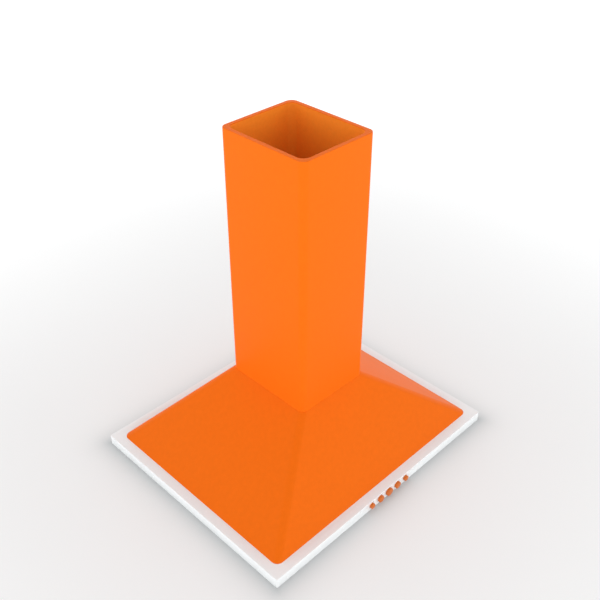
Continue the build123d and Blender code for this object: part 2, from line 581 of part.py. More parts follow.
def outlet_adapter():
    """The outlet: a transition from the chute to a round spigot, with a ledge and bar for the damper."""
    outside = adapter_loft(0) + post(SPIGOT_RADIUS, 0, 0, ADAPTER_TOP, SPIGOT_TOP)
    inside = adapter_loft(SPIGOT_WALL) + post(SPIGOT_RADIUS - SPIGOT_WALL, 0, 0, ADAPTER_TOP, SPIGOT_TOP)
    body = outside - inside
    ledge_top = FLAP_HEIGHT - FLAP_THICKNESS / 2 - CLEARANCE
    bore = SPIGOT_RADIUS - SPIGOT_WALL
    ledge_span = (ledge_top - LEDGE_THICKNESS, ledge_top)
    body += post(bore, 0, 0, *ledge_span) - post(bore - LEDGE_WIDTH, 0, 0, *ledge_span)
    bar_low = FLAP_HEIGHT - BAR_DROP
    bar = block((-BAR_HALF, BAR_HALF), (-bore, bore), (bar_low, FLAP_HEIGHT - FLAP_BARREL - 1))
    body += bar & post(SPIGOT_RADIUS - SPIGOT_WALL / 2, 0, 0, bar_low, FLAP_HEIGHT)
    for x in (-FLAP_PIN_OFFSET, FLAP_PIN_OFFSET):
        for end in (-1, 1):
            ear_y = sorted((end * (bore + SPIGOT_WALL / 4), end * (bore - EAR_LENGTH)))
            body += block((x - EAR_HALF, x + EAR_HALF), ear_y, (bar_low, FLAP_HEIGHT + EAR_HALF))
        body -= rod_y(FLAP_PIN_RADIUS, x, FLAP_HEIGHT, PIN_INSET - bore, bore - PIN_INSET)
    return body & (post(SPIGOT_RADIUS, 0, 0, ADAPTER_TOP, SPIGOT_TOP) + adapter_loft(0))


def damper_pins():
    """The two pins that the damper flaps swing on."""
    half = SPIGOT_RADIUS - SPIGOT_WALL - PIN_INSET
    places = (-FLAP_PIN_OFFSET, FLAP_PIN_OFFSET)
    return Compound([rod_y(FLAP_PIN_RADIUS, x, FLAP_HEIGHT, -half, half) for x in places])


def damper_flap(side):
    """One half-round flap with its barrel round the pin."""
    axis_x = side * FLAP_PIN_OFFSET
    disc = post(FLAP_RADIUS, 0, 0, FLAP_HEIGHT - FLAP_THICKNESS / 2, FLAP_HEIGHT + FLAP_THICKNESS / 2)
    keep_x = sorted((axis_x, side * SPIGOT_RADIUS))
    flap = disc & block(keep_x, (-SPIGOT_RADIUS, SPIGOT_RADIUS), (ADAPTER_TOP, SPIGOT_TOP))
    half = SPIGOT_RADIUS - SPIGOT_WALL - EAR_LENGTH - PIN_INSET
    for end in (-1, 1):
        ear_y = sorted((end * half, end * SPIGOT_RADIUS))
        ear_x = sorted((0, side * (FLAP_PIN_OFFSET + EAR_HALF + 1.6)))
        flap -= block(ear_x, ear_y, (ADAPTER_TOP, SPIGOT_TOP))
    flap += rod_y(FLAP_BARREL, axis_x, FLAP_HEIGHT, -half, half)
    return flap - rod_y(FLAP_PIN_RADIUS + RUNNING_CLEARANCE, axis_x, FLAP_HEIGHT, -half, half)


def impeller():
    """The double-inlet fan wheel: a middle disc with its hub, leaning blades and two end rings."""
    inner = IMPELLER_RADIUS - BLADE_DEPTH
    wheel = rod_x(IMPELLER_RADIUS, 0, FAN_HEIGHT, -WHEEL_SHEET / 2, WHEEL_SHEET / 2)
    wheel += rod_x(HUB_RADIUS, 0, FAN_HEIGHT, -HUB_HALF, HUB_HALF)
    for side in SIDES.values():
        ring_x = sorted((side * IMPELLER_HALF, side * (IMPELLER_HALF - WHEEL_SHEET)))
        wheel += rod_x(IMPELLER_RADIUS, 0, FAN_HEIGHT, *ring_x) - rod_x(inner, 0, FAN_HEIGHT, *ring_x)
    blade = Pos(0, inner + BLADE_DEPTH / 2, 0) * Rot(BLADE_LEAN, 0, 0)
    blade *= Box(2 * IMPELLER_HALF, BLADE_DEPTH - 1, BLADE_THICKNESS)
    blades = [Pos(0, 0, FAN_HEIGHT) * Rot(360 / BLADE_COUNT * i, 0, 0) * blade for i in range(BLADE_COUNT)]
    wheel = wheel.fuse(*blades)
    return wheel - rod_x(SHAFT_RADIUS, 0, FAN_HEIGHT, -HUB_HALF, HUB_HALF)


# ---------------------------------------------------------------- motor
def motor_mount_centres():
    """Where the motor's three mounting arms end, as (y, z)."""
    reach = INLET_RADIUS + MOUNT_REACH
    turns = [angle * pi / 180 for angle in MOUNT_ANGLES]
    return [(reach * cos(turn), FAN_HEIGHT + reach * sin(turn)) for turn in turns]


def motor_bracket():
    """The three-arm bracket across the inlet that holds the motor."""
    low, high = BLOWER_HALF + MOUNT_RUBBER, MOTOR_START
    body = rod_x(MOTOR_RADIUS - 6, 0, FAN_HEIGHT, low, high)
    reach = INLET_RADIUS + MOUNT_REACH
    for angle, (y, z) in zip(MOUNT_ANGLES, motor_mount_centres()):
        arm = Box(high - low, reach, MOUNT_ARM)
        body += Pos((low + high) / 2, 0, FAN_HEIGHT) * Rot(angle, 0, 0) * Pos(0, reach / 2, 0) * arm
        body += rod_x(MOUNT_ARM / 2 + 1.5, y, z, low, high)
        body -= rod_x(SCREW_RADIUS + SCREW_SLACK, y, z, low, high)
    return body - rod_x(BUSH_RADIUS + 1, 0, FAN_HEIGHT, low, high)


def motor_mounts():
    """Rubber rings between the bracket's arms and the blower's housing."""
    low, high = BLOWER_HALF, BLOWER_HALF + MOUNT_RUBBER
    outer, inner = MOUNT_ARM / 2 + 1, SCREW_RADIUS + SCREW_SLACK
    places = motor_mount_centres()
    return Compound([rod_x(outer, y, z, low, high) - rod_x(inner, y, z, low, high) for y, z in places])


def motor_screws():
    """Screws through the bracket's arms and rubbers into the housing."""
    group = []
    for y, z in motor_mount_centres():
        head_end = MOTOR_START + SCREW_HEAD
        head = rod_x(SCREW_HEAD_RADIUS, y, z, MOTOR_START, head_end)
        shank = rod_x(SCREW_RADIUS, y, z, BLOWER_HALF - BLOWER_WALL, MOTOR_START)
        group.append(head + shank - rod_x(DRIVE_RADIUS, y, z, head_end - SCREW_HEAD / 2, head_end))
    return Compound(group)


def motor_can():
    """The motor's deep-drawn can, with the front bearing's seat."""
    cap_start = MOTOR_END - END_CAP_LENGTH
    body = rod_x(MOTOR_RADIUS, 0, FAN_HEIGHT, MOTOR_START, cap_start)
    body -= rod_x(MOTOR_RADIUS - MOTOR_WALL, 0, FAN_HEIGHT, MOTOR_START + MOTOR_WALL, cap_start)
    body += rod_x(BUSH_RADIUS + 2, 0, FAN_HEIGHT, MOTOR_START, MOTOR_START + BUSH_LENGTH)
    return body - rod_x(BUSH_RADIUS, 0, FAN_HEIGHT, MOTOR_START, MOTOR_START + BUSH_LENGTH)


def motor_end_cap():
    """The motor's end cap, with the rear bearing's seat and cooling slots."""
    cap_start = MOTOR_END - END_CAP_LENGTH
    body = rod_x(MOTOR_RADIUS, 0, FAN_HEIGHT, cap_start, MOTOR_END)
    body += rod_x(BUSH_RADIUS + 2, 0, FAN_HEIGHT, MOTOR_END - 1 - BUSH_LENGTH, cap_start)
    body -= rod_x(BUSH_RADIUS, 0, FAN_HEIGHT, MOTOR_END - 1 - BUSH_LENGTH, MOTOR_END - 1)
    slot = Pos(0, (BUSH_RADIUS + MOTOR_RADIUS) / 2 + 1, 0) * Box(END_CAP_LENGTH, 10, 4)
    for i in range(CAP_SLOTS):
        body -= Pos(MOTOR_END - END_CAP_LENGTH / 2, 0, FAN_HEIGHT) * Rot(360 / CAP_SLOTS * i, 0, 0) * slot
    return body


def motor_bushes():
    """The two plain bearings of the motor's shaft."""
    spans = [(MOTOR_START, MOTOR_START + BUSH_LENGTH), (MOTOR_END - 1 - BUSH_LENGTH, MOTOR_END - 1)]
    bore = SHAFT_RADIUS + RUNNING_CLEARANCE
    bushes = [rod_x(BUSH_RADIUS, 0, FAN_HEIGHT, *span) - rod_x(bore, 0, FAN_HEIGHT, *span) for span in spans]
    return Compound(bushes)


def stator_span():
    """The stator's two ends along X."""
    middle = (MOTOR_START + MOTOR_END) / 2 - 1
    return middle - STATOR_LENGTH / 2, middle + STATOR_LENGTH / 2


def stator():
    """The laminated ring with its coils, inside the can."""
    low, high = stator_span()
    body = rod_x(MOTOR_RADIUS - MOTOR_WALL, 0, FAN_HEIGHT, low, high)
    return body - rod_x(ROTOR_RADIUS + ROTOR_GAP, 0, FAN_HEIGHT, low, high)


def rotor():
    """The motor's rotor, on the shaft."""
    low, high = stator_span()
    return rod_x(ROTOR_RADIUS, 0, FAN_HEIGHT, low, high) - rod_x(SHAFT_RADIUS, 0, FAN_HEIGHT, low, high)


def motor_shaft():
    """The shaft that carries the rotor and the fan wheel."""
    return rod_x(SHAFT_RADIUS, 0, FAN_HEIGHT, -HUB_HALF - 2, MOTOR_END - 1.5)


# ---------------------------------------------------------------- grease filters
def filter_frame(side):
    """The aluminium rails of one grease filter, with its finger scoop and the two pivot stubs."""
    centre = side * BAY_CENTRE_X
    x = (centre - FILTER_X / 2, centre + FILTER_X / 2)
    y = (FILTER_FRONT, FILTER_REAR)
    z = (TRAY_RECESS, FILTER_TOP)
    rail = FILTER_RAIL
    frame = block(x, y, z) - block((x[0] + rail, x[1] - rail), (y[0] + rail, y[1] - rail), z)
    wide = SCOOP_HALF + SCOOP_WALL
    frame += block((centre - wide, centre + wide), (y[0] + rail, y[0] + rail + SCOOP_HEIGHT + SCOOP_WALL), z)
    scoop_y = (y[0] + SCOOP_SETBACK, y[0] + SCOOP_SETBACK + SCOOP_DEPTH)
    frame -= block((centre - SCOOP_HALF, centre + SCOOP_HALF), scoop_y, (z[0], z[0] + SCOOP_HEIGHT))
    frame -= filter_mesh(side)
    reach = FILTER_GAP + TRAY_SHEET + PIVOT_REACH
    frame += rod_x(PIVOT_RADIUS, PIVOT_Y, PIVOT_Z, x[0] - reach, x[0])
    return frame + rod_x(PIVOT_RADIUS, PIVOT_Y, PIVOT_Z, x[1], x[1] + reach)


def filter_mesh(side):
    """The pack of expanded metal that the rails hold."""
    centre = side * BAY_CENTRE_X
    half = FILTER_X / 2 - MESH_GROOVE
    middle = TRAY_RECESS + FILTER_HEIGHT / 2
    z = (middle - MESH_THICKNESS / 2, middle + MESH_THICKNESS / 2)
    pack = block((centre - half, centre + half), (FILTER_FRONT + MESH_GROOVE, FILTER_REAR - MESH_GROOVE), z)
    wide = SCOOP_HALF + SCOOP_WALL + 4
    notch_y = (FILTER_FRONT, FILTER_FRONT + FILTER_RAIL + SCOOP_HEIGHT + SCOOP_WALL)
    return pack - block((centre - wide, centre + wide), notch_y, z)


def filter_magnets(side):
    """The two magnets on one filter's front rail, which hold it up against the tray's tabs."""
    centre = side * BAY_CENTRE_X
    y = FILTER_FRONT + MAGNET_RADIUS + MAGNET_INSET
    top = FILTER_TOP + MAGNET_THICKNESS
    places = (centre - MAGNET_SPREAD, centre + MAGNET_SPREAD)
    return Compound([post(MAGNET_RADIUS, x, y, FILTER_TOP, top) for x in places])


# ---------------------------------------------------------------- controls
def button(index):
    """One push button: a round cap with two stop ears behind the rim's wall, and its stem."""
    x, radius = BUTTON_XS[index], BUTTON_DIAMETERS[index] / 2
    cap = rod_y(radius, x, BUTTON_HEIGHT, -HALF_Y - BUTTON_PROUD, CAP_BACK)
    cap = fillet(cap.edges().group_by(Axis.Y)[0], CAP_EDGE)
    ear_front = RIM_WALL + CLEARANCE - HALF_Y
    ear_z = (BUTTON_HEIGHT - CAP_EAR_HALF, BUTTON_HEIGHT + CAP_EAR_HALF)
    ears = block((x - radius - CAP_EAR, x + radius + CAP_EAR), (ear_front, ear_front + CAP_EAR_DEPTH), ear_z)
    return cap + ears + rod_y(STEM_RADIUS, x, BUTTON_HEIGHT, CAP_BACK, STEM_END)


def button_spring(index):
    """The return spring round one button's stem."""
    height = SPRING_ROOM - 2 * (SPRING_WIRE + SPRING_SLACK)
    coil = Helix(pitch=height / SPRING_TURNS, height=height, radius=SPRING_RADIUS)
    start = Plane(origin=coil @ 0, z_dir=coil % 0)
    wire = sweep(start * Circle(SPRING_WIRE), path=coil, is_frenet=True)
    base = CAP_BACK + SPRING_WIRE + SPRING_SLACK
    return Pos(BUTTON_XS[index], base, BUTTON_HEIGHT) * Rot(-90, 0, 0) * wire


def button_guide():
    """The bracket behind the rim's wall: five guide bores in front, end cheeks and screw tabs."""
    z = (BANK_LOW, BANK_HIGH)
    tab_z = (BUTTON_HEIGHT, BUTTON_HEIGHT + TAB_THICKNESS)
    half = BANK_HALF
    body = block((-half - CHEEK, half + CHEEK), (GUIDE_FRONT, GUIDE_BACK), z)
    for side in SIDES.values():
        cheek_x = sorted((side * half, side * (half + CHEEK)))
        body += block(cheek_x, (GUIDE_FRONT, SWITCH_BACK), z)
        tab_x = sorted((side * half, side * (half + TAB_LENGTH)))
        body += block(tab_x, (GUIDE_BACK, GUIDE_BACK + TAB_DEPTH), tab_z)
    for x in GUIDE_SCREW_XS:
        body -= screw_hole(x, GUIDE_SCREW_Y, *tab_z)
    for x in BUTTON_XS:
        body -= rod_y(STEM_RADIUS + RUNNING_CLEARANCE, x, BUTTON_HEIGHT, GUIDE_FRONT, GUIDE_BACK)
    return body


def guide_screws():
    """The two screws that hold the button guide to the rim."""
    length = SKIN_UNDERSIDE - BLIND_END / 3 - BUTTON_HEIGHT - SCREW_SLACK
    return Compound([pan_screw_up(x, GUIDE_SCREW_Y, BUTTON_HEIGHT, length) for x in GUIDE_SCREW_XS])


def switch_bank():
    """The switch block: five wells that the buttons' stems reach into."""
    body = block((-BANK_HALF, BANK_HALF), (SWITCH_FRONT, SWITCH_BACK), (BANK_LOW, BANK_HIGH))
    for x in BUTTON_XS:
        body -= rod_y(WELL_RADIUS, x, BUTTON_HEIGHT, SWITCH_FRONT, SWITCH_BACK - WELL_FLOOR)
    return body


def control_board():
    """The printed board on the switch block's back, with a relay, a fuse and a connector."""
    front, back = SWITCH_BACK, SWITCH_BACK + BOARD_THICKNESS
    board = block((-BANK_HALF, BANK_HALF), (front, back), (BANK_LOW, BANK_HIGH))
    relay = block(RELAY_X, (back, back + RELAY_DEPTH), (BANK_LOW + 1, BANK_HIGH - 1))
    fuse = rod_x(FUSE_RADIUS, back + FUSE_RADIUS, BUTTON_HEIGHT, *FUSE_X)
    connector = block(CONNECTOR_X, (back, back + CONNECTOR_DEPTH), (BANK_LOW + 2, BANK_HIGH - 2))
    return board + relay + fuse + connector


def control_lead():
    """The lead clipped in the rim's channel, from the controls round to the terminal box."""
    lane_x, lane_y, z = HALF_X - LEAD_LANE, HALF_Y - LEAD_LANE, BUTTON_HEIGHT
    corners = [
        (-BANK_HALF - CHEEK - 1, -lane_y, z),
        (-lane_x, -lane_y, z),
        (-lane_x, lane_y, z),
        (BOX_CENTRE_X, lane_y, z),
        (BOX_CENTRE_X, BOX_Y + BOX_SIZE[1] / 2 - BOX_WALL - 3, z),
    ]
    path = FilletPolyline(*corners, radius=LEAD_BEND)
    return sweep(Plane(origin=path @ 0, z_dir=path % 0) * Circle(LEAD_RADIUS), path=path)


# ---------------------------------------------------------------- lamps and electrics
def lamp_housing(side):
    """The cup of one lamp, with its flange on top of the tray."""
    x, top = side * LAMP_SPREAD, TRAY_RECESS + LAMP_HEIGHT
    body = post(LAMP_RADIUS, x, LAMP_Y, TRAY_RECESS, top)
    body += post(LAMP_RADIUS + LAMP_FLANGE, x, LAMP_Y, TRAY_TOP, TRAY_TOP + LAMP_WALL)
    body -= post(LAMP_RADIUS - LAMP_WALL, x, LAMP_Y, TRAY_RECESS, TRAY_RECESS + LENS_THICKNESS)
    return body - post(LAMP_RADIUS - 2 * LAMP_WALL, x, LAMP_Y, TRAY_RECESS + LENS_THICKNESS, top - LAMP_WALL)


def lamp_lens(side):
    """The frosted disc that closes one lamp."""
    radius = LAMP_RADIUS - LAMP_WALL
    return post(radius, side * LAMP_SPREAD, LAMP_Y, TRAY_RECESS, TRAY_RECESS + LENS_THICKNESS)


def terminal_box():
    """The box on the tray's rear strip where the mains lead ends, open above."""
    x = (BOX_CENTRE_X - BOX_SIZE[0] / 2, BOX_CENTRE_X + BOX_SIZE[0] / 2)
    y = (BOX_Y - BOX_SIZE[1] / 2, BOX_Y + BOX_SIZE[1] / 2)
    top = TRAY_TOP + BOX_SIZE[2]
    w = BOX_WALL
    hollow = block((x[0] + w, x[1] - w), (y[0] + w, y[1] - w), (TRAY_TOP + w, top))
    body = block(x, y, (TRAY_TOP, top)) - hollow
    body -= rod_y(LEAD_RADIUS, BOX_CENTRE_X, BUTTON_HEIGHT, y[1] - w, y[1])
    return body - rod_x(GLAND_THREAD, BOX_Y, TRAY_TOP + BOX_SIZE[2] / 2, x[1] - w, x[1])


def terminal_lid():
    """The terminal box's lid, with a lip that drops inside the walls."""
    half_x, half_y = BOX_SIZE[0] / 2, BOX_SIZE[1] / 2
    low = TRAY_TOP + BOX_SIZE[2]
    lid = block((-half_x, half_x), (-half_y, half_y), (low, low + BOX_WALL))
    inset = BOX_WALL + SCREW_SLACK
    lip_x, lip_y = half_x - inset, half_y - inset
    lip_z = (low - 2 * BOX_LIP, low)
    lip = block((-lip_x, lip_x), (-lip_y, lip_y), lip_z)
    lip -= block((BOX_LIP - lip_x, lip_x - BOX_LIP), (BOX_LIP - lip_y, lip_y - BOX_LIP), lip_z)
    return Pos(BOX_CENTRE_X, BOX_Y, 0) * (lid + lip)


def cable_gland():
    """The gland in the terminal box's end, bored for the mains lead."""
    wall = BOX_CENTRE_X + BOX_SIZE[0] / 2
    z = TRAY_TOP + BOX_SIZE[2] / 2
    hexagon = extrude(RegularPolygon(GLAND_RADIUS, 6), NUT_LENGTH / 2, both=True)
    nut = Pos(wall + NUT_LENGTH / 2, BOX_Y, z) * Rot(0, 90, 0) * hexagon
    start = wall - BOX_WALL - 4
    end = start + GLAND_LENGTH
    thread = rod_x(GLAND_THREAD, BOX_Y, z, start, wall)
    dome = rod_x(GLAND_DOME, BOX_Y, z, wall + NUT_LENGTH, end)
    return nut + thread + dome - rod_x(GLAND_BORE, BOX_Y, z, start, end)


def capacitor():
    """The motor's run capacitor on the side of the blower's chute, with its moulded foot."""
    x = -BLOWER_HALF - CAPACITOR_GAP - CAPACITOR_RADIUS
    y = CHUTE_OUTER + CAPACITOR_RADIUS + 2 * CAPACITOR_GAP
    top = PLATE_UNDERSIDE - CAPACITOR_DROP
    middle = top - CAPACITOR_LENGTH / 2
    can = post(CAPACITOR_RADIUS, x, y, top - CAPACITOR_LENGTH, top)
    half = CAPACITOR_FOOT / 2
    foot = block((x, -BLOWER_HALF), (y - half, y + half), (middle - half, middle + half))
    return can + foot


# ---------------------------------------------------------------- every node, by name
NODES = {
    "rim_frame": rim_frame(),
    "bottom_tray": bottom_tray(),
    "tray_screws": tray_screws(),
    "canopy": canopy(),
    "rim_screws": rim_screws(),
    "chimney_cover": chimney_cover(),
    "chimney_liner": chimney_liner(),
    "blower_plate": blower_plate(),
    "top_bracket": top_bracket(),
    "frame_screws": frame_screws(),
    "blower_screws": blower_screws(),
    "outlet_adapter": outlet_adapter(),
    "damper_pins": damper_pins(),
    "impeller": impeller(),
    "motor_bracket": motor_bracket(),
    "motor_mounts": motor_mounts(),
    "motor_screws": motor_screws(),
    "motor_can": motor_can(),
    "motor_end_cap": motor_end_cap(),
    "motor_bushes": motor_bushes(),
    "stator": stator(),
    "rotor": rotor(),
    "motor_shaft": motor_shaft(),
    "button_guide": button_guide(),
    "guide_screws": guide_screws(),
    "switch_bank": switch_bank(),
    "control_board": control_board(),
    "control_lead": control_lead(),
    "terminal_box": terminal_box(),
    "terminal_lid": terminal_lid(),
    "cable_gland": cable_gland(),
    "capacitor": capacitor(),
}
for corner, (sx, sy) in CORNERS.items():
    NODES[f"upright_{corner}"] = upright(sx, sy)
for name, side in SIDES.items():
    NODES[f"blower_half_{name}"] = blower_half(side)
    NODES[f"damper_flap_{name}"] = damper_flap(side)
    NODES[f"filter_frame_{name}"] = filter_frame(side)
    NODES[f"filter_mesh_{name}"] = filter_mesh(side)
    NODES[f"filter_magnets_{name}"] = filter_magnets(side)
    NODES[f"lamp_housing_{name}"] = lamp_housing(side)
    NODES[f"lamp_lens_{name}"] = lamp_lens(side)
for index in range(len(BUTTON_DIAMETERS)):
    NODES[f"button_{index + 1}"] = button(index)
    NODES[f"button_spring_{index + 1}"] = button_spring(index)

os.makedirs("parts", exist_ok=True)
for name, shape in NODES.items():
    export_step(shape, f"parts/{name}.step")
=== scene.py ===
"""A chimney cooker hood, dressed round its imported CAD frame: white rim, orange canopy and chimney, and the works.

Every piece stands where the frame says. Sizes are metres.
"""

from __future__ import annotations

import json
import logging
import math
from dataclasses import dataclass
from enum import Enum
from typing import Iterable, Sequence

import bmesh
import bpy
from mathutils import Matrix, Vector


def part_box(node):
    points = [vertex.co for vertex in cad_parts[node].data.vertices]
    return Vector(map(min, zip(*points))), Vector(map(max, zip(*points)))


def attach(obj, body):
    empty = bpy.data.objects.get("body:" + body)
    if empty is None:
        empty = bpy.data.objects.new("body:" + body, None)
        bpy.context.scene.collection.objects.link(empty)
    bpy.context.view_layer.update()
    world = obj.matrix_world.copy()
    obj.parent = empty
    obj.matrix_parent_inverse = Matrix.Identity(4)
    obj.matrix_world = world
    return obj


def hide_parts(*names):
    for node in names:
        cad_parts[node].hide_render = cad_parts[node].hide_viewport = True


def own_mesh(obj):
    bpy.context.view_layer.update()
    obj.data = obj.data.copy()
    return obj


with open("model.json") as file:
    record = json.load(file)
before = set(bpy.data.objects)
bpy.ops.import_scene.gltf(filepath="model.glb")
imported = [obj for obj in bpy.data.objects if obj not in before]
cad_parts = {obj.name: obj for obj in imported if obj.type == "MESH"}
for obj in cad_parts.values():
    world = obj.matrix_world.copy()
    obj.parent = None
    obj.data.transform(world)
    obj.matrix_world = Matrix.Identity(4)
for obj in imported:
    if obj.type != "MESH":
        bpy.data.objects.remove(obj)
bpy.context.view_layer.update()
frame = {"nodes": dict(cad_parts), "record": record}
LOG = logging.getLogger("hood")
MM = 0.001

Colour = tuple[float, float, float]
Point = tuple[float, float, float]


# ---------------------------------------------------------------- finishes
class Grain(Enum):
    """The pattern that breaks up a finish."""

    MOTTLE = "mottle"
    BRUSHED_X = "brushed_x"
    BRUSHED_Y = "brushed_y"
    BRUSHED_Z = "brushed_z"
    SPANGLE = "spangle"
    LAMINATED_X = "laminated_x"


STRETCH: dict[Grain, Point] = {
    Grain.MOTTLE: (1.0, 1.0, 1.0),
    Grain.BRUSHED_X: (0.02, 1.0, 1.0),
    Grain.BRUSHED_Y: (1.0, 0.02, 1.0),
    Grain.BRUSHED_Z: (1.0, 1.0, 0.02),
    Grain.SPANGLE: (1.0, 1.0, 1.0),
    Grain.LAMINATED_X: (1.0, 0.001, 0.001),
}


class NodeSheet:
    """A thin wrapper that makes and joins the nodes of one tree."""

    def __init__(self, tree: bpy.types.NodeTree) -> None:
        """Wraps a node tree.

        Args:
            tree: the tree that new nodes go into.
        """
        self.tree = tree

    def add(self, kind: str, **settings: object) -> bpy.types.Node:
        """Makes a node.

        Args:
            kind: the node's type name.
            **settings: properties to set on the node.

        Returns:
            The new node.
        """
        node = self.tree.nodes.new(kind)
        for key, value in settings.items():
            setattr(node, key, value)
        return node

    def join(self, source: bpy.types.NodeSocket, target: bpy.types.NodeSocket) -> None:
        """Links an output to an input."""
        self.tree.links.new(source, target)

    def feed(self, target: bpy.types.NodeSocket, value: object) -> None:
        """Links a socket, or sets a plain value, on an input.

        Args:
            target: the input socket.
            value: another node's output socket, or a number, vector or colour.
        """
        if isinstance(value, bpy.types.NodeSocket):
            self.join(value, target)
        else:
            target.default_value = value

    def math(self, operation: str, first: object, second: object = 0.0) -> bpy.types.NodeSocket:
        """A maths node on two numbers.

        Args:
            operation: the node's operation.
            first: the first number or socket.
            second: the second number or socket.

        Returns:
            The result's socket.
        """
        node = self.add("ShaderNodeMath", operation=operation)
        self.feed(node.inputs[0], first)
        self.feed(node.inputs[1], second)
        return node.outputs[0]


@dataclass(frozen=True)
class Finish:
    """One finish: a base colour broken by a grain, with its gloss and fine relief."""

    name: str
    colour: Colour
    tone: float = 0.04
    grain: Grain = Grain.MOTTLE
    grain_size: float = 6 * MM
    metallic: float = 0.0
    gloss: tuple[float, float] = (0.30, 0.40)
    relief_size: float = 0.8 * MM
    relief: float = 0.02 * MM
    coat: float = 0.0
    specular: float = 0.5

    def coordinates(self, sheet: NodeSheet) -> bpy.types.NodeSocket:
        """The object's own coordinates, stretched along the grain."""
        place = sheet.add("ShaderNodeTexCoord")
        mapping = sheet.add("ShaderNodeMapping")
        mapping.inputs["Scale"].default_value = STRETCH[self.grain]
        sheet.join(place.outputs["Object"], mapping.inputs["Vector"])
        return mapping.outputs["Vector"]

    def pattern(self, sheet: NodeSheet, where: bpy.types.NodeSocket) -> bpy.types.NodeSocket:
        """The 0 to 1 value that shifts colour and gloss.

        Args:
            sheet: the material's nodes.
            where: the coordinates.

        Returns:
            A socket with the pattern's value.
        """
        if self.grain is Grain.SPANGLE:
            cells = sheet.add("ShaderNodeTexVoronoi")
            cells.inputs["Scale"].default_value = 1 / self.grain_size
            sheet.join(where, cells.inputs["Vector"])
            split = sheet.add("ShaderNodeSeparateColor")
            sheet.join(cells.outputs["Color"], split.inputs[0])
            return split.outputs[0]
        noise = sheet.add("ShaderNodeTexNoise")
        noise.inputs["Scale"].default_value = 1 / self.grain_size
        noise.inputs["Detail"].default_value = 4.0
        noise.inputs["Roughness"].default_value = 0.55
        sheet.join(where, noise.inputs["Vector"])
        return noise.outputs["Fac"]

    def tint(self, sheet: NodeSheet, value: bpy.types.NodeSocket) -> bpy.types.NodeSocket:
        """The base colour, a little darker and lighter with the pattern."""
        ramp = sheet.add("ShaderNodeValToRGB")
        low, high = (tuple(min(1.0, c * k) for c in self.colour) + (1.0,) for k in (1 - self.tone, 1 + self.tone))
        ramp.color_ramp.elements[0].position = 0.30
        ramp.color_ramp.elements[0].color = low
        ramp.color_ramp.elements[1].position = 0.70
        ramp.color_ramp.elements[1].color = high
        sheet.join(value, ramp.inputs[0])
        return ramp.outputs[0]

    def height(self, sheet: NodeSheet, where: bpy.types.NodeSocket) -> bpy.types.NodeSocket:
        """The fine relief's height, 0 to 1."""
        noise = sheet.add("ShaderNodeTexNoise")
        noise.inputs["Scale"].default_value = 1 / self.relief_size
        noise.inputs["Detail"].default_value = 3.0
        sheet.join(where, noise.inputs["Vector"])
        return noise.outputs["Fac"]

    def material(self) -> bpy.types.Material:
        """The finish as a material, made once and then shared."""
        if self.name in bpy.data.materials:
            return bpy.data.materials[self.name]
        material = bpy.data.materials.new(self.name)
        material.use_nodes = True
        sheet = NodeSheet(material.node_tree)
        shader = material.node_tree.nodes["Principled BSDF"]
        where = self.coordinates(sheet)
        value = self.pattern(sheet, where)
        sheet.join(self.tint(sheet, value), shader.inputs["Base Color"])
        gloss = sheet.add("ShaderNodeMapRange")
        gloss.inputs["To Min"].default_value = self.gloss[0]
        gloss.inputs["To Max"].default_value = self.gloss[1]
        sheet.join(value, gloss.inputs["Value"])
        sheet.join(gloss.outputs[0], shader.inputs["Roughness"])
        bump = sheet.add("ShaderNodeBump")
        bump.inputs["Strength"].default_value = 0.6
        bump.inputs["Distance"].default_value = self.relief
        sheet.join(self.height(sheet, where), bump.inputs["Height"])
        sheet.join(bump.outputs["Normal"], shader.inputs["Normal"])
        shader.inputs["Metallic"].default_value = self.metallic
        shader.inputs["Specular IOR Level"].default_value = self.specular
        shader.inputs["Coat Weight"].default_value = self.coat
        shader.inputs["Coat Roughness"].default_value = 0.12
        self.extra(sheet, shader)
        return material

    def extra(self, sheet: NodeSheet, shader: bpy.types.Node) -> None:
        """A hook for what one kind of finish adds."""


@dataclass(frozen=True)
class BoardFinish(Finish):
    """A printed board: green resist over a faint grid of copper tracks."""

    track_pitch: float = 2.5 * MM

    def extra(self, sheet: NodeSheet, shader: bpy.types.Node) -> None:
        """Lays lighter tracks over the resist.

        Args:
            sheet: the material's nodes.
            shader: the principled shader.
        """
        place = sheet.add("ShaderNodeTexCoord")
        bricks = sheet.add("ShaderNodeTexBrick", offset=0.35, offset_frequency=2)
        turn = sheet.add("ShaderNodeMapping")
        turn.inputs["Rotation"].default_value = (math.pi / 2, 0, 0)
        sheet.join(place.outputs["Object"], turn.inputs["Vector"])
        sheet.join(turn.outputs[0], bricks.inputs["Vector"])
        bricks.inputs["Scale"].default_value = 1.0
        bricks.inputs["Brick Width"].default_value = self.track_pitch * 4
        bricks.inputs["Row Height"].default_value = self.track_pitch
        bricks.inputs["Mortar Size"].default_value = self.track_pitch * 0.16
        bricks.inputs["Color1"].default_value = self.colour + (1.0,)
        bricks.inputs["Color2"].default_value = tuple(c * 0.85 for c in self.colour) + (1.0,)
        bricks.inputs["Mortar"].default_value = (0.16, 0.42, 0.20, 1.0)
        sheet.join(bricks.outputs["Color"], shader.inputs["Base Color"])


@dataclass(frozen=True)
class LensFinish(Finish):
    """A frosted lamp lens with small prisms pressed into it."""

    prism: float = 2.2 * MM

    def height(self, sheet: NodeSheet, where: bpy.types.NodeSocket) -> bpy.types.NodeSocket:
        """The prisms' height, from round cells."""
        cells = sheet.add("ShaderNodeTexVoronoi")
        cells.inputs["Scale"].default_value = 1 / self.prism
        cells.inputs["Randomness"].default_value = 0.15
        sheet.join(where, cells.inputs["Vector"])
        return cells.outputs["Distance"]


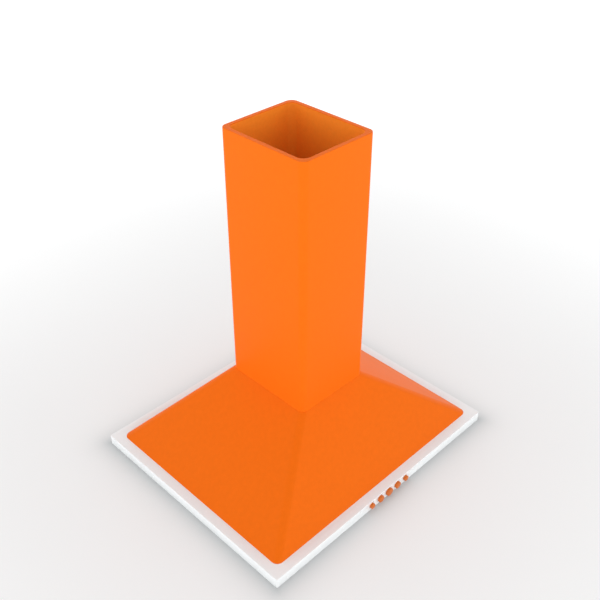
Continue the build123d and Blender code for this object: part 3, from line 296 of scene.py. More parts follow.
ORANGE: Colour = (0.888, 0.156, 0.006)
FINISHES: dict[str, Finish] = {
    "white_rim": Finish("moulded_white", (0.93, 0.955, 0.965), 0.012, gloss=(0.22, 0.30), relief=0.01 * MM),
    "tray_enamel": Finish("grey_enamel", (0.66, 0.68, 0.70), 0.03, gloss=(0.28, 0.38), coat=0.2),
    "orange_paint": Finish("orange_powder_coat", ORANGE, 0.02, grain_size=9 * MM, gloss=(0.36, 0.44), specular=0.04),
    # Painted light: the liner is a paler, less saturated copy of the orange paint, which lifts the inside of the duct
    # against the deeper colour of bounced light
    "orange_liner": Finish(
        "orange_flue_coat", (0.91, 0.262, 0.022), 0.03, gloss=(0.44, 0.56), relief=0.02 * MM, specular=0.06
    ),
    "orange_cap": Finish(
        "orange_button_plastic", (0.66, 0.16, 0.026), 0.05, grain_size=3 * MM, gloss=(0.26, 0.34), specular=0.25
    ),
    "zinc_steel": Finish(
        "zinc_coated_sheet", (0.60, 0.62, 0.64), 0.14, Grain.SPANGLE, 7 * MM, 1.0, (0.30, 0.46), 0.5 * MM
    ),
    "grey_moulding": Finish("grey_glass_filled_plastic", (0.10, 0.105, 0.115), 0.10, gloss=(0.42, 0.56)),
    "fan_moulding": Finish("black_fan_plastic", (0.022, 0.022, 0.024), 0.16, gloss=(0.34, 0.46)),
    "white_moulding": Finish("white_guide_plastic", (0.78, 0.78, 0.74), 0.03, gloss=(0.36, 0.46)),
    "black_moulding": Finish("black_box_plastic", (0.018, 0.018, 0.020), 0.18, gloss=(0.38, 0.54)),
    "circuit_board": BoardFinish("green_circuit_board", (0.010, 0.110, 0.035), gloss=(0.20, 0.30)),
    "cable_sheath": Finish("black_cable_sheath", (0.015, 0.015, 0.016), 0.20, gloss=(0.46, 0.60)),
    "capacitor_can": Finish(
        "drawn_aluminium_can", (0.78, 0.79, 0.81), 0.06, Grain.BRUSHED_Z, 0.6 * MM, 1.0, (0.24, 0.36)
    ),
    "motor_enamel": Finish("black_motor_enamel", (0.020, 0.022, 0.025), 0.15, gloss=(0.26, 0.40), coat=0.2),
    "bearing_bronze": Finish("sintered_bronze", (0.50, 0.27, 0.10), 0.15, grain_size=0.7 * MM, metallic=1.0),
    "stator_iron": Finish(
        "laminated_iron", (0.20, 0.18, 0.17), 0.35, Grain.LAMINATED_X, 0.9 * MM, 1.0, (0.38, 0.55), 0.5 * MM
    ),
    "shaft_steel": Finish("ground_steel", (0.62, 0.63, 0.65), 0.05, Grain.BRUSHED_Y, 0.4 * MM, 1.0, (0.16, 0.28)),
    "screw_steel": Finish("zinc_plated_screw", (0.62, 0.63, 0.60), 0.08, grain_size=1 * MM, metallic=1.0),
    "spring_steel": Finish("spring_wire", (0.50, 0.51, 0.53), 0.08, Grain.BRUSHED_Y, 0.5 * MM, 1.0, (0.22, 0.34)),
    "black_rubber": Finish("moulded_rubber", (0.012, 0.012, 0.012), 0.25, gloss=(0.60, 0.80), relief=0.05 * MM),
    "lamp_chrome": Finish("satin_lamp_ring", (0.76, 0.77, 0.79), 0.05, grain_size=0.8 * MM, metallic=1.0),
    "frosted_lens": LensFinish("frosted_lens", (0.82, 0.81, 0.74), 0.03, gloss=(0.20, 0.30), relief=0.25 * MM),
    "filter_rail": Finish(
        "extruded_aluminium", (0.74, 0.75, 0.77), 0.06, Grain.BRUSHED_X, 0.7 * MM, 1.0, (0.26, 0.38)
    ),
    "filter_mesh": Finish("expanded_aluminium", (0.68, 0.69, 0.71), 0.10, grain_size=2 * MM, metallic=1.0),
    "magnet_nickel": Finish("nickel_plate", (0.66, 0.64, 0.60), 0.04, grain_size=1 * MM, metallic=1.0),
}


# ---------------------------------------------------------------- mesh making
@dataclass(frozen=True)
class Ring:
    """One level of a shell: a rounded rectangle at a height."""

    half_x: float
    half_y: float
    corner: float
    height: float

    def points(self, steps: int) -> list[Vector]:
        """The outline's points, in order, with a quarter circle at each corner.

        Args:
            steps: segments in each corner.

        Returns:
            The points, anticlockwise seen from above.
        """
        found = []
        for quarter, (sx, sy) in enumerate(((1, 1), (-1, 1), (-1, -1), (1, -1))):
            for step in range(steps + 1):
                angle = (quarter + step / steps) * math.pi / 2
                x = sx * (self.half_x - self.corner) + self.corner * math.cos(angle)
                y = sy * (self.half_y - self.corner) + self.corner * math.sin(angle)
                found.append(Vector((x, y, self.height)))
        return found

    def toward(self, other: Ring, share: float) -> Ring:
        """The ring part of the way to another one."""
        names = ("half_x", "half_y", "corner", "height")
        return Ring(*(getattr(self, n) + (getattr(other, n) - getattr(self, n)) * share for n in names))


def object_from(name: str, bm: bmesh.types.BMesh, smooth: float = 35.0) -> bpy.types.Object:
    """Turns a bmesh into an object with outward faces and crisp edges only where it folds.

    Args:
        name: the object's name.
        bm: the finished mesh, which is freed.
        smooth: the fold, in degrees, above which an edge stays crisp.

    Returns:
        The new object, at the origin.
    """
    bmesh.ops.remove_doubles(bm, verts=bm.verts, dist=1e-6)
    bmesh.ops.recalc_face_normals(bm, faces=bm.faces)
    mesh = bpy.data.meshes.new(name)
    bm.to_mesh(mesh)
    bm.free()
    mesh.polygons.foreach_set("use_smooth", [True] * len(mesh.polygons))
    mesh.set_sharp_from_angle(angle=math.radians(smooth))
    made = bpy.data.objects.new(name, mesh)
    bpy.context.scene.collection.objects.link(made)
    return made


def soften(rings: Sequence[Ring], radii: Sequence[float], closed: bool, arc: int = 4) -> list[Ring]:
    """Rounds the folds between the levels of a shell.

    Args:
        rings: the shell's levels, in order round its wall.
        radii: how far each fold is rounded back along both its sides; 0 leaves it.
        closed: whether the last level joins the first.
        arc: segments in each rounded fold.

    Returns:
        The levels with each fold replaced by a short curve.
    """
    found: list[Ring] = []
    count = len(rings)
    for i, (ring, radius) in enumerate(zip(rings, radii)):
        if radius <= 0 or (not closed and i in (0, count - 1)):
            found.append(ring)
            continue
        before, after = rings[i - 1], rings[(i + 1) % count]
        reach = [math.hypot(ring.half_x - r.half_x, ring.height - r.height) for r in (before, after)]
        start, end = (ring.toward(r, min(0.5, radius / d)) for r, d in zip((before, after), reach))
        for step in range(arc + 1):
            t = step / arc
            found.append(start.toward(ring, t).toward(ring.toward(end, t), t))
    return found


def shell(name: str, rings: Sequence[Ring], closed: bool = True, corner_steps: int = 10) -> bpy.types.Object:
    """Skins a run of rings into one piece.

    Args:
        name: the piece's name.
        rings: the levels, in order round the wall.
        closed: joins the last level to the first, or else caps both ends.
        corner_steps: segments in each corner.

    Returns:
        The piece.
    """
    bm = bmesh.new()
    loops = [[bm.verts.new(p) for p in ring.points(corner_steps)] for ring in rings]
    pairs = list(zip(loops, loops[1:])) + ([(loops[-1], loops[0])] if closed else [])
    for low, high in pairs:
        for i in range(len(low)):
            j = (i + 1) % len(low)
            bm.faces.new((low[i], low[j], high[j], high[i]))
    if not closed:
        bm.faces.new(loops[0])
        bm.faces.new(loops[-1])
    return object_from(name, bm)


def spun(name: str, profile: Sequence[tuple[float, float]], axis: Point, centre: Point, steps: int = 48):
    """Turns a profile round an axis.

    Args:
        name: the piece's name.
        profile: (distance along the axis, radius) pairs; ends at radius 0 close with a pole.
        axis: the axis's direction.
        centre: the point that distances are counted from.
        steps: segments round the axis.

    Returns:
        The piece.
    """
    bm = bmesh.new()
    turn = Vector((0, 0, 1)).rotation_difference(Vector(axis)).to_matrix()
    loops = []
    for along, radius in profile:
        count = steps if radius > 0 else 1
        angles = [2 * math.pi * i / steps for i in range(count)]
        spots = [Vector((radius * math.cos(a), radius * math.sin(a), along)) for a in angles]
        loops.append([bm.verts.new(Vector(centre) + turn @ s) for s in spots])
    closed = profile[0][1] > 0 and profile[-1][1] > 0
    pairs = list(zip(loops, loops[1:])) + ([(loops[-1], loops[0])] if closed else [])
    for low, high in pairs:
        for i in range(steps):
            j = (i + 1) % steps
            corners = [low[i % len(low)], low[j % len(low)], high[j % len(high)], high[i % len(high)]]
            face = list(dict.fromkeys(corners))
            if len(face) > 2:
                bm.faces.new(face)
    return object_from(name, bm)


def rounded(profile: Sequence[tuple[float, float]], radius: float, arc: int = 4) -> list[tuple[float, float]]:
    """Rounds the corners of an open profile by the same amount.

    Args:
        profile: the profile's points; the first and last stay sharp.
        radius: how far back each corner is rounded.
        arc: segments in each corner.

    Returns:
        The rounded profile.
    """
    points = [Vector(p) for p in profile]
    found = [points[0]]
    for before, here, after in zip(points, points[1:], points[2:]):
        start = here.lerp(before, min(0.45, radius / max((here - before).length, 1e-9)))
        end = here.lerp(after, min(0.45, radius / max((here - after).length, 1e-9)))
        for step in range(arc + 1):
            t = step / arc
            found.append(start.lerp(here, t).lerp(here.lerp(end, t), t))
    found.append(points[-1])
    return [(p.x, p.y) for p in found]


def tube(name: str, path: Sequence[Vector], radius: float, sides: int = 10) -> bpy.types.Object:
    """A round wire along a path, with closed ends.

    Args:
        name: the piece's name.
        path: the points that the wire's middle follows.
        radius: the wire's radius.
        sides: segments round the wire.

    Returns:
        The piece.
    """
    bm = bmesh.new()
    loops, normal = [], None
    for i, spot in enumerate(path):
        along = (path[min(i + 1, len(path) - 1)] - path[max(i - 1, 0)]).normalized()
        normal = along.orthogonal() if normal is None else normal - along * normal.dot(along)
        normal.normalize()
        side = along.cross(normal)
        angles = [2 * math.pi * k / sides for k in range(sides)]
        loops.append([bm.verts.new(spot + radius * (normal * math.cos(a) + side * math.sin(a))) for a in angles])
    for low, high in zip(loops, loops[1:]):
        for i in range(sides):
            j = (i + 1) % sides
            bm.faces.new((low[i], low[j], high[j], high[i]))
    bm.faces.new(loops[0])
    bm.faces.new(loops[-1])
    return object_from(name, bm)


def joined(name: str, parts: Iterable[bpy.types.Object]) -> bpy.types.Object:
    """Makes one piece of several loose ones.

    Args:
        name: the new piece's name.
        parts: the pieces, which are removed.

    Returns:
        The joined piece.
    """
    bm = bmesh.new()
    for part in list(parts):
        bm.from_mesh(part.data)
        bpy.data.objects.remove(part)
    return object_from(name, bm)


def carved(body: bpy.types.Object, cutters: Sequence[bpy.types.Object]) -> bpy.types.Object:
    """Cuts other solids out of a piece.

    Args:
        body: the piece to cut.
        cutters: the solids to take away, which are removed.

    Returns:
        The cut piece.
    """
    cutter = joined("cutter", cutters)
    cut = body.modifiers.new("cut", "BOOLEAN")
    cut.object, cut.operation, cut.solver = cutter, "DIFFERENCE", "EXACT"
    graph = bpy.context.evaluated_depsgraph_get()
    mesh = bpy.data.meshes.new_from_object(body.evaluated_get(graph))
    bm = bmesh.new()
    bm.from_mesh(mesh)
    name = body.name
    for old in (body, cutter):
        bpy.data.objects.remove(old)
    return object_from(name, bm)


def refined(node: str, edge: float = 0.25 * MM, fold: float = 32.0) -> bpy.types.Object:
    """A clean copy of a CAD node with small rounded edges, which stands for it.

    Args:
        node: the CAD node's name.
        edge: the width of the rounding on its folds; 0 leaves them.
        fold: the least angle, in degrees, that counts as a fold.

    Returns:
        The new piece, not yet riding on a body.
    """
    bm = bmesh.new()
    bm.from_mesh(frame["nodes"][node].data)
    bmesh.ops.remove_doubles(bm, verts=bm.verts, dist=2e-6)
    bmesh.ops.dissolve_limit(bm, angle_limit=math.radians(0.6), verts=bm.verts, edges=bm.edges)
    if edge > 0:
        limit = math.radians(fold)
        folds = [e for e in bm.edges if len(e.link_faces) == 2 and e.calc_face_angle(0) > limit]
        bmesh.ops.bevel(
            bm, geom=folds, offset=edge, segments=2, profile=0.6, affect="EDGES", clamp_overlap=True
        )
    bmesh.ops.triangulate(bm, faces=[f for f in bm.faces if len(f.verts) > 4])
    return object_from(f"{node}_piece", bm)


# ---------------------------------------------------------------- dressing
def slot_of(node: str) -> str:
    """The record's material slot for a node."""
    return next(s["material_slot"] for s in frame["record"]["subparts"] if s["node"] == node)


def body_of(node: str) -> str:
    """The CAD body that holds a node."""
    bodies = frame["record"]["behaviour"]["bodies"]
    return next(body for body, members in bodies.items() if node in members)


def dress(piece: bpy.types.Object, *nodes: str, slot: str = "", body: str = "") -> bpy.types.Object:
    """Gives a piece its finish, its body and the CAD nodes it stands for.

    Args:
        piece: the finished piece, at the origin.
        *nodes: the CAD nodes that it replaces.
        slot: the material slot, if it isn't the first node's.
        body: the CAD body, if it isn't the first node's.

    Returns:
        The same piece.
    """
    slot = slot or slot_of(nodes[0])
    piece.data.materials.clear()
    piece.data.materials.append(FINISHES[slot].material())
    if nodes:
        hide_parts(*nodes)
    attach(piece, body or body_of(nodes[0]))
    LOG.info("%s: %d faces", piece.name, len(piece.data.polygons))
    return piece


# ---------------------------------------------------------------- repeated pieces, by geometry nodes
class RepeatTree:
    """A geometry tree that repeats one template and ends in real mesh with a material."""

    def __init__(self, name: str, inputs: dict[str, tuple[str, object]]) -> None:
        """Makes the tree and its named inputs.

        Args:
            name: the tree's name.
            inputs: each input's name, with its socket type and value.
        """
        self.tree = bpy.data.node_groups.new(name, "GeometryNodeTree")
        self.sheet = NodeSheet(self.tree)
        self.values: dict[str, object] = {}
        self.tree.interface.new_socket("Geometry", in_out="INPUT", socket_type="NodeSocketGeometry")
        self.tree.interface.new_socket("Geometry", in_out="OUTPUT", socket_type="NodeSocketGeometry")
        for label, (kind, value) in inputs.items():
            socket = self.tree.interface.new_socket(label, in_out="INPUT", socket_type=kind)
            self.values[socket.identifier] = value
        self.start = self.sheet.add("NodeGroupInput")
        self.end = self.sheet.add("NodeGroupOutput")

    def value(self, label: str) -> bpy.types.NodeSocket:
        """The output of the group input with this name."""
        return self.start.outputs[label]

    def finish_with(self, instances: bpy.types.NodeSocket, material: bpy.types.Material) -> None:
        """Realizes the instances, sets their material and ends the tree."""
        real = self.sheet.add("GeometryNodeRealizeInstances")
        paint = self.sheet.add("GeometryNodeSetMaterial")
        paint.inputs["Material"].default_value = material
        self.sheet.join(instances, real.inputs[0])
        self.sheet.join(real.outputs[0], paint.inputs["Geometry"])
        self.sheet.join(paint.outputs[0], self.end.inputs[0])

    def baked(self, name: str, carrier: bpy.types.Object) -> bpy.types.Object:
        """Runs the tree on a carrier and returns the plain result.

        Args:
            name: the result's name.
            carrier: the object that the tree runs on, which is removed.

        Returns:
            A plain mesh object.
        """
        modifier = carrier.modifiers.new("repeat", "NODES")
        modifier.node_group = self.tree
        for identifier, value in self.values.items():
            modifier[identifier] = value
        graph = bpy.context.evaluated_depsgraph_get()
        mesh = bpy.data.meshes.new_from_object(carrier.evaluated_get(graph))
        bm = bmesh.new()
        bm.from_mesh(mesh)
        bpy.data.objects.remove(carrier)
        return object_from(name, bm)


def carrier_of(places: Sequence[Point], aims: Sequence[Point]) -> bpy.types.Object:
    """A bare object with one vertex at each place, which knows the way it faces.

    Args:
        places: where the vertices are.
        aims: the direction kept on each vertex, as its "aim".

    Returns:
        The object.
    """
    mesh = bpy.data.meshes.new("carrier")
    mesh.from_pydata([tuple(p) for p in places], [], [])
    aim = mesh.attributes.new("aim", "FLOAT_VECTOR", "POINT")
    aim.data.foreach_set("vector", [c for a in aims for c in a])
    made = bpy.data.objects.new("carrier", mesh)
    bpy.context.scene.collection.objects.link(made)
    return made


def instanced(tree: RepeatTree, template: bpy.types.NodeSocket) -> bpy.types.NodeSocket:
    """Puts the template on the carrier's vertices, its +Z turned to each vertex's aim.

    Args:
        tree: the tree being built.
        template: the geometry to repeat.

    Returns:
        The instances.
    """
    sheet = tree.sheet
    aim = sheet.add("GeometryNodeInputNamedAttribute", data_type="FLOAT_VECTOR")
    aim.inputs["Name"].default_value = "aim"
    turn = sheet.add("FunctionNodeAlignRotationToVector", axis="Z")
    sheet.join(aim.outputs["Attribute"], turn.inputs["Vector"])
    spread = sheet.add("GeometryNodeInstanceOnPoints")
    sheet.join(tree.start.outputs["Geometry"], spread.inputs["Points"])
    sheet.join(template, spread.inputs["Instance"])
    sheet.join(turn.outputs[0], spread.inputs["Rotation"])
    return spread.outputs[0]


@dataclass(frozen=True)
class FoundScrew:
    """One screw of a CAD group: where its head's face is, the way it points, and its sizes."""

    place: Vector
    aim: Vector
    length: float
    head_radius: float
    shank_radius: float


def islands(node: str) -> list[list[Vector]]:
    """The points of each separate solid in a CAD node.

    Args:
        node: the CAD node's name.

    Returns:
        One list of points for each solid.
    """
    bm = bmesh.new()
    bm.from_mesh(frame["nodes"][node].data)
    bmesh.ops.remove_doubles(bm, verts=bm.verts, dist=2e-6)
    left, found = set(bm.verts), []
    while left:
        grown, front = [], [left.pop()]
        while front:
            vert = front.pop()
            grown.append(vert.co.copy())
            for edge in vert.link_edges:
                other = edge.other_vert(vert)
                if other in left:
                    left.discard(other)
                    front.append(other)
        found.append(grown)
    bm.free()
    return found


def screws_in(node: str) -> list[FoundScrew]:
    """Reads each screw of a group off its CAD solids.

    Args:
        node: the CAD node's name.

    Returns:
        The screws, from the lowest place up.
    """
    found = []
    for points in islands(node):
        low = [min(p[k] for p in points) for k in range(3)]
        high = [max(p[k] for p in points) for k in range(3)]
        long = max(range(3), key=lambda k: high[k] - low[k])
        middle = [(low[k] + high[k]) / 2 for k in range(3)]

        def reach(end: float) -> float:
            """How far the solid stands out from its axis near one end."""
            near = [p for p in points if abs(p[long] - end) < 0.3 * MM]
            return max(math.dist(p, [end * (k == long) + middle[k] * (k != long) for k in range(3)]) for p in near)

        ends = (low[long], high[long])
        radii = [reach(end) for end in ends]
        head = 0 if radii[0] > radii[1] else 1
        place = Vector(middle)
        place[long] = ends[head]
        aim = Vector((0, 0, 0))
        aim[long] = 1 if head == 0 else -1
        found.append(FoundScrew(place, aim, ends[1] - ends[0], max(radii), min(radii)))
    return sorted(found, key=lambda s: (round(s.place.z, 5), round(s.place.y, 5), round(s.place.x, 5)))


class Drive(Enum):
    """How a screw's head is shaped."""

    PAN = "pan"
    FLAT = "flat"


@dataclass
class ScrewGroup:
    """One group of like screws: turned heads with a cross recess, and threaded shanks."""

    node: str
    drive: Drive = Drive.PAN
    thread_pitch: float = 0.8 * MM
    thread_depth: float = 0.22 * MM
    head_height: float = 2.4 * MM

    def head(self, screw: FoundScrew) -> bpy.types.Object:
        """The head with its recess, its face at the origin and its shank towards +Z.

        Args:
            screw: the sizes to follow.

        Returns:
            The head's piece.
        """
        radius, deep = screw.head_radius, self.head_height
        if self.drive is Drive.FLAT:
            profile = [(0, 0), (0, radius - 0.1 * MM), (0.1 * MM, radius), (deep, screw.shank_radius), (deep, 0)]
        else:
            dome = [(deep * (0.42 - 0.42 * math.cos(a)), radius * math.sin(a)) for a in (0.0, 0.5, 0.9, 1.25, 1.5708)]
            profile = [(0, 0)] + dome[1:] + [(deep - 0.1 * MM, radius), (deep, radius - 0.1 * MM), (deep, 0)]
        body = spun("head", profile, (0, 0, 1), (0, 0, 0), 24)
        arms = []
        for turn in (0, math.pi / 2):
            bm = bmesh.new()
            bmesh.ops.create_cube(bm, size=1)
            size = Matrix.Diagonal((radius * 1.05, radius * 0.24, deep * 1.1, 1))
            bm.transform(Matrix.Rotation(turn, 4, "Z") @ size)
            arms.append(object_from("arm", bm))
        return carved(carved(body, arms[:1]), arms[1:])

    def tree(self, head: bpy.types.Object, screw: FoundScrew) -> RepeatTree:
        """The tree that stands the head and a threaded shank on every place.

        Args:
            head: the head's piece.
            screw: the sizes to follow.

        Returns:
            The tree, with its sizes as inputs.
        """
        tree = RepeatTree(
            f"{self.node}_repeat",
            {
                "Shank radius": ("NodeSocketFloat", screw.shank_radius),
                "Shank length": ("NodeSocketFloat", screw.length - self.head_height),
                "Thread pitch": ("NodeSocketFloat", self.thread_pitch),
                "Thread depth": ("NodeSocketFloat", self.thread_depth),
                "Head height": ("NodeSocketFloat", self.head_height),
            },
        )
        sheet = tree.sheet
        own = sheet.add("GeometryNodeObjectInfo", transform_space="ORIGINAL")
        own.inputs["Object"].default_value = head
        core_radius = sheet.math("SUBTRACT", tree.value("Shank radius"), tree.value("Thread depth"))
        core = sheet.add("GeometryNodeMeshCylinder", fill_type="NGON")
        core.inputs["Vertices"].default_value = 16
        sheet.join(core_radius, core.inputs["Radius"])
        sheet.join(tree.value("Shank length"), core.inputs["Depth"])
        half = sheet.math("MULTIPLY", tree.value("Shank length"), 0.5)
        lift = sheet.add("ShaderNodeCombineXYZ")
        sheet.join(sheet.math("ADD", half, tree.value("Head height")), lift.inputs["Z"])
        shank = sheet.add("GeometryNodeTransform")
        sheet.join(core.outputs["Mesh"], shank.inputs["Geometry"])
        sheet.join(lift.outputs[0], shank.inputs["Translation"])
        spiral = sheet.add("GeometryNodeCurveSpiral")
        spiral.inputs["Resolution"].default_value = 14
        run = sheet.math("SUBTRACT", tree.value("Shank length"), tree.value("Thread pitch"))
        sheet.join(sheet.math("DIVIDE", run, tree.value("Thread pitch")), spiral.inputs["Rotations"])
        sheet.join(core_radius, spiral.inputs["Start Radius"])
        sheet.join(core_radius, spiral.inputs["End Radius"])
        sheet.join(run, spiral.inputs["Height"])
        profile = sheet.add("GeometryNodeCurvePrimitiveCircle")
        profile.inputs["Resolution"].default_value = 4
        sheet.join(sheet.math("MULTIPLY", tree.value("Thread depth"), 0.95), profile.inputs["Radius"])
        wire = sheet.add("GeometryNodeCurveToMesh")
        wire.inputs["Fill Caps"].default_value = True
        sheet.join(spiral.outputs[0], wire.inputs["Curve"])
        sheet.join(profile.outputs[0], wire.inputs["Profile Curve"])
        up = sheet.add("ShaderNodeCombineXYZ")
        start = sheet.math("MULTIPLY", tree.value("Thread pitch"), 0.5)
        sheet.join(sheet.math("ADD", start, tree.value("Head height")), up.inputs["Z"])
        thread = sheet.add("GeometryNodeTransform")
        sheet.join(wire.outputs[0], thread.inputs["Geometry"])
        sheet.join(up.outputs[0], thread.inputs["Translation"])
        whole = sheet.add("GeometryNodeJoinGeometry")
        for part in (own.outputs["Geometry"], shank.outputs[0], thread.outputs[0]):
            sheet.join(part, whole.inputs[0])
        tree.finish_with(instanced(tree, whole.outputs[0]), FINISHES["screw_steel"].material())
        return tree

    def build(self) -> None:
        """Makes a piece for each length of screw in the group, joins them and dresses the result."""
        batches: dict[int, list[FoundScrew]] = {}
        for screw in screws_in(self.node):
            batches.setdefault(round(screw.length / (0.1 * MM)), []).append(screw)
        parts = []
        for batch in batches.values():
            head = self.head(batch[0])
            carrier = carrier_of([tuple(s.place) for s in batch], [tuple(s.aim) for s in batch])
            parts.append(self.tree(head, batch[0]).baked("batch", carrier))
            bpy.data.objects.remove(head)
        dress(joined(f"{self.node}_piece", parts), self.node)


# ---------------------------------------------------------------- the hood's shell
@dataclass
class Rim:
    """The white moulded rim and the enamelled tray that closes its underside."""

    edge: float = 0.5 * MM
    tray_edge: float = 0.3 * MM

    def build(self) -> None:
        """Makes the rim, the tray and their screws."""
        dress(refined("rim_frame", self.edge), "rim_frame")
        dress(refined("bottom_tray", self.tray_edge), "bottom_tray")
        ScrewGroup("tray_screws", Drive.FLAT, head_height=1.2 * MM).build()
        ScrewGroup("rim_screws").build()


@dataclass
class Canopy:
    """The pressed pyramid: foot flange, four slopes with soft hips, shoulder and collar."""

    sheet: float = 1.2 * MM
    lean: float = 1.45 * 1.2 * MM
    foot_radius: float = 14 * MM
    shoulder_radius: float = 14 * MM
    flange: float = 14 * MM
    collar_radius: float = 14.5 * MM
    collar_height: float = 12 * MM
    fold: float = 1.6 * MM
    hip_steps: int = 14

    def rings(self) -> list[Ring]:
        """The wall's levels, from the foot's outer edge up, over the collar and back inside."""
        low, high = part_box("canopy")
        foot, top = low[2], high[2] - self.collar_height
        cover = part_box("chimney_cover")[1]
        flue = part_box("chimney_liner")[1]
        foot_x, foot_y, top_x, top_y = high[0], high[1], cover[0], cover[1]
        collar_x, collar_y = flue[0] - self.sheet - 0.5 * MM, flue[1] - self.sheet - 0.5 * MM
        sheet, lean = self.sheet, self.lean
        slope = (foot_x - top_x) / (top - foot)
        inner_foot = Ring(foot_x - lean - slope * sheet, foot_y - lean - sheet * 0.9, self.foot_radius - lean, foot + sheet)
        return [
            Ring(foot_x, foot_y, self.foot_radius, foot),
            Ring(top_x, top_y, self.shoulder_radius, top),
            Ring(collar_x, collar_y, self.collar_radius, top),
            Ring(collar_x, collar_y, self.collar_radius, top + self.collar_height),
            Ring(collar_x - sheet, collar_y - sheet, self.collar_radius - sheet, top + self.collar_height),
            Ring(collar_x - sheet, collar_y - sheet, self.collar_radius - sheet, top - sheet),
            Ring(top_x - lean, top_y - lean, self.shoulder_radius - lean, top - sheet),
            inner_foot,
            Ring(foot_x - lean - self.flange, foot_y - lean - self.flange, 8 * MM, foot + sheet),
            Ring(foot_x - lean - self.flange, foot_y - lean - self.flange, 8 * MM, foot),
        ]

    def build(self) -> None:
        """Makes and dresses the canopy."""
        folds = [0.5 * MM, 0.4 * MM, 0.6 * MM, 0.3 * MM, 0.3 * MM, 0.4 * MM, 0.4 * MM, 0.5 * MM, 0.3 * MM, 0.3 * MM]
        piece = shell("canopy_piece", soften(self.rings(), folds, True), True, self.hip_steps)
        dress(piece, "canopy")


@dataclass
class Chimney:
    """The double-skin chimney: a cover with a rolled top edge, and the liner inside it."""

    sheet: float = 1.2 * MM
    cover_radius: float = 14 * MM
    flue_radius: float = 15 * MM
    lip: float = 1.1 * MM

    def cover(self) -> bpy.types.Object:
        """The outer skin, rolled inwards at the top over the liner."""
        low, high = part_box("chimney_cover")
        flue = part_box("chimney_liner")[1]
        inner = (flue[0] - self.sheet, flue[1] - self.sheet)
        x, y, foot, top, sheet = high[0], high[1], low[2], high[2], self.sheet
        rings = [
            Ring(x, y, self.cover_radius, foot),
            Ring(x, y, self.cover_radius, top),
            Ring(inner[0], inner[1], self.flue_radius, top),
            Ring(inner[0], inner[1], self.flue_radius, top - sheet),
            Ring(x - sheet, y - sheet, self.cover_radius - sheet, top - sheet),
            Ring(x - sheet, y - sheet, self.cover_radius - sheet, foot),
        ]
        folds = [0.3 * MM, self.lip, 0.5 * MM, 0.3 * MM, 0.5 * MM, 0.3 * MM]
        return shell("chimney_cover_piece", soften(rings, folds, True, 5), True, 12)

    def liner(self) -> bpy.types.Object:
        """The inner skin."""
        low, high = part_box("chimney_liner")
        x, y, foot, top, sheet = high[0], high[1], low[2], high[2], self.sheet
        rings = [
            Ring(x, y, self.flue_radius + sheet, foot),
            Ring(x, y, self.flue_radius + sheet, top),
            Ring(x - sheet, y - sheet, self.flue_radius, top),
            Ring(x - sheet, y - sheet, self.flue_radius, foot),
        ]
        return shell("chimney_liner_piece", soften(rings, [0.25 * MM] * 4, True, 3), True, 12)

    def build(self) -> None:
        """Makes and dresses both skins."""
        dress(self.cover(), "chimney_cover")
        dress(self.liner(), "chimney_liner")


# ---------------------------------------------------------------- the controls
@dataclass
class Controls:
    """The five push buttons with their springs, and the guide, switches, board and lead behind them."""

    dome: float = 0.9 * MM
    cap_lip: float = 0.7 * MM
    wire: float = 0.35 * MM
    coil: float = 3.6 * MM
    turns: int = 5
    stem: float = 2.5 * MM
    kept: float = 0.55
    lead_edge: float = 0.0

    def button(self, index: int) -> bpy.types.Object:
        """One button: a crowned cap with a soft edge, its stop ears and its stem.

        Args:
            index: the button's number, from 1.

        Returns:
            The button's piece.
        """
        node = f"button_{index}"
        low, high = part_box(node)
        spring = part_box(f"button_spring_{index}")
        middle_x, middle_z = (low[0] + high[0]) / 2, (low[2] + high[2]) / 2
        radius = (high[2] - low[2]) / 2
        back = spring[0][1] - low[1]
        crown = [(self.dome * (1 - math.cos(a)), radius * 0.86 * math.sin(a)) for a in (0, 0.35, 0.7, 1.05, 1.3, 1.5708)]
        body = crown + [(self.dome + 0.25 * MM, radius - 0.15 * MM), (self.dome + self.cap_lip, radius), (back, radius)]
        rounds = rounded(body[5:], 0.25 * MM)
        profile = body[:5] + rounds + [(back, self.stem), (high[1] - low[1], self.stem), (high[1] - low[1], 0)]
        cap = spun("cap", profile, (0, 1, 0), (middle_x, low[1], middle_z), 48)
        ears = box_piece((low[0], low[1] + 8.7 * MM, middle_z - 2 * MM), (high[0], low[1] + 10.2 * MM, middle_z + 2 * MM))
        return joined(f"{node}_piece", (cap, ears))

    def spring(self, index: int) -> bpy.types.Object:
        """One return spring, with a closed turn at each end.

        Args:
            index: the spring's number, from 1.

        Returns:
            The spring's piece.
        """
        low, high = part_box(f"button_spring_{index}")
        x, z = (low[0] + high[0]) / 2, (low[2] + high[2]) / 2
        start, length = low[1] + self.wire, high[1] - low[1] - 2 * self.wire
        total, path = self.turns + 1.5, []
        for step in range(int(total * 20) + 1):
            turn = step / 20
            share = min(1.0, max(0.0, (turn - 0.75) / (total - 1.5)))
            closed = self.wire * 1.9 * (min(turn, 0.75) + max(0.0, turn - total + 0.75)) / 0.75
            along = start + closed + (length - self.wire * 3.8) * share
            angle = 2 * math.pi * turn
            path.append(Vector((x + self.coil * math.cos(angle), along, z + self.coil * math.sin(angle))))
        return tube(f"button_spring_{index}_piece", path, self.wire, 8)

    def build(self) -> None:
        """Makes and dresses the buttons and what stands behind them."""
        for index in range(1, 6):
            dress(self.button(index), f"button_{index}")
            spring = dress(self.spring(index), f"button_spring_{index}")
            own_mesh(spring)
        for node in ("button_guide", "switch_bank", "control_board"):
            dress(refined(node, 0.2 * MM), node)
        dress(refined("control_lead", self.lead_edge), "control_lead")
        ScrewGroup("guide_screws").build()


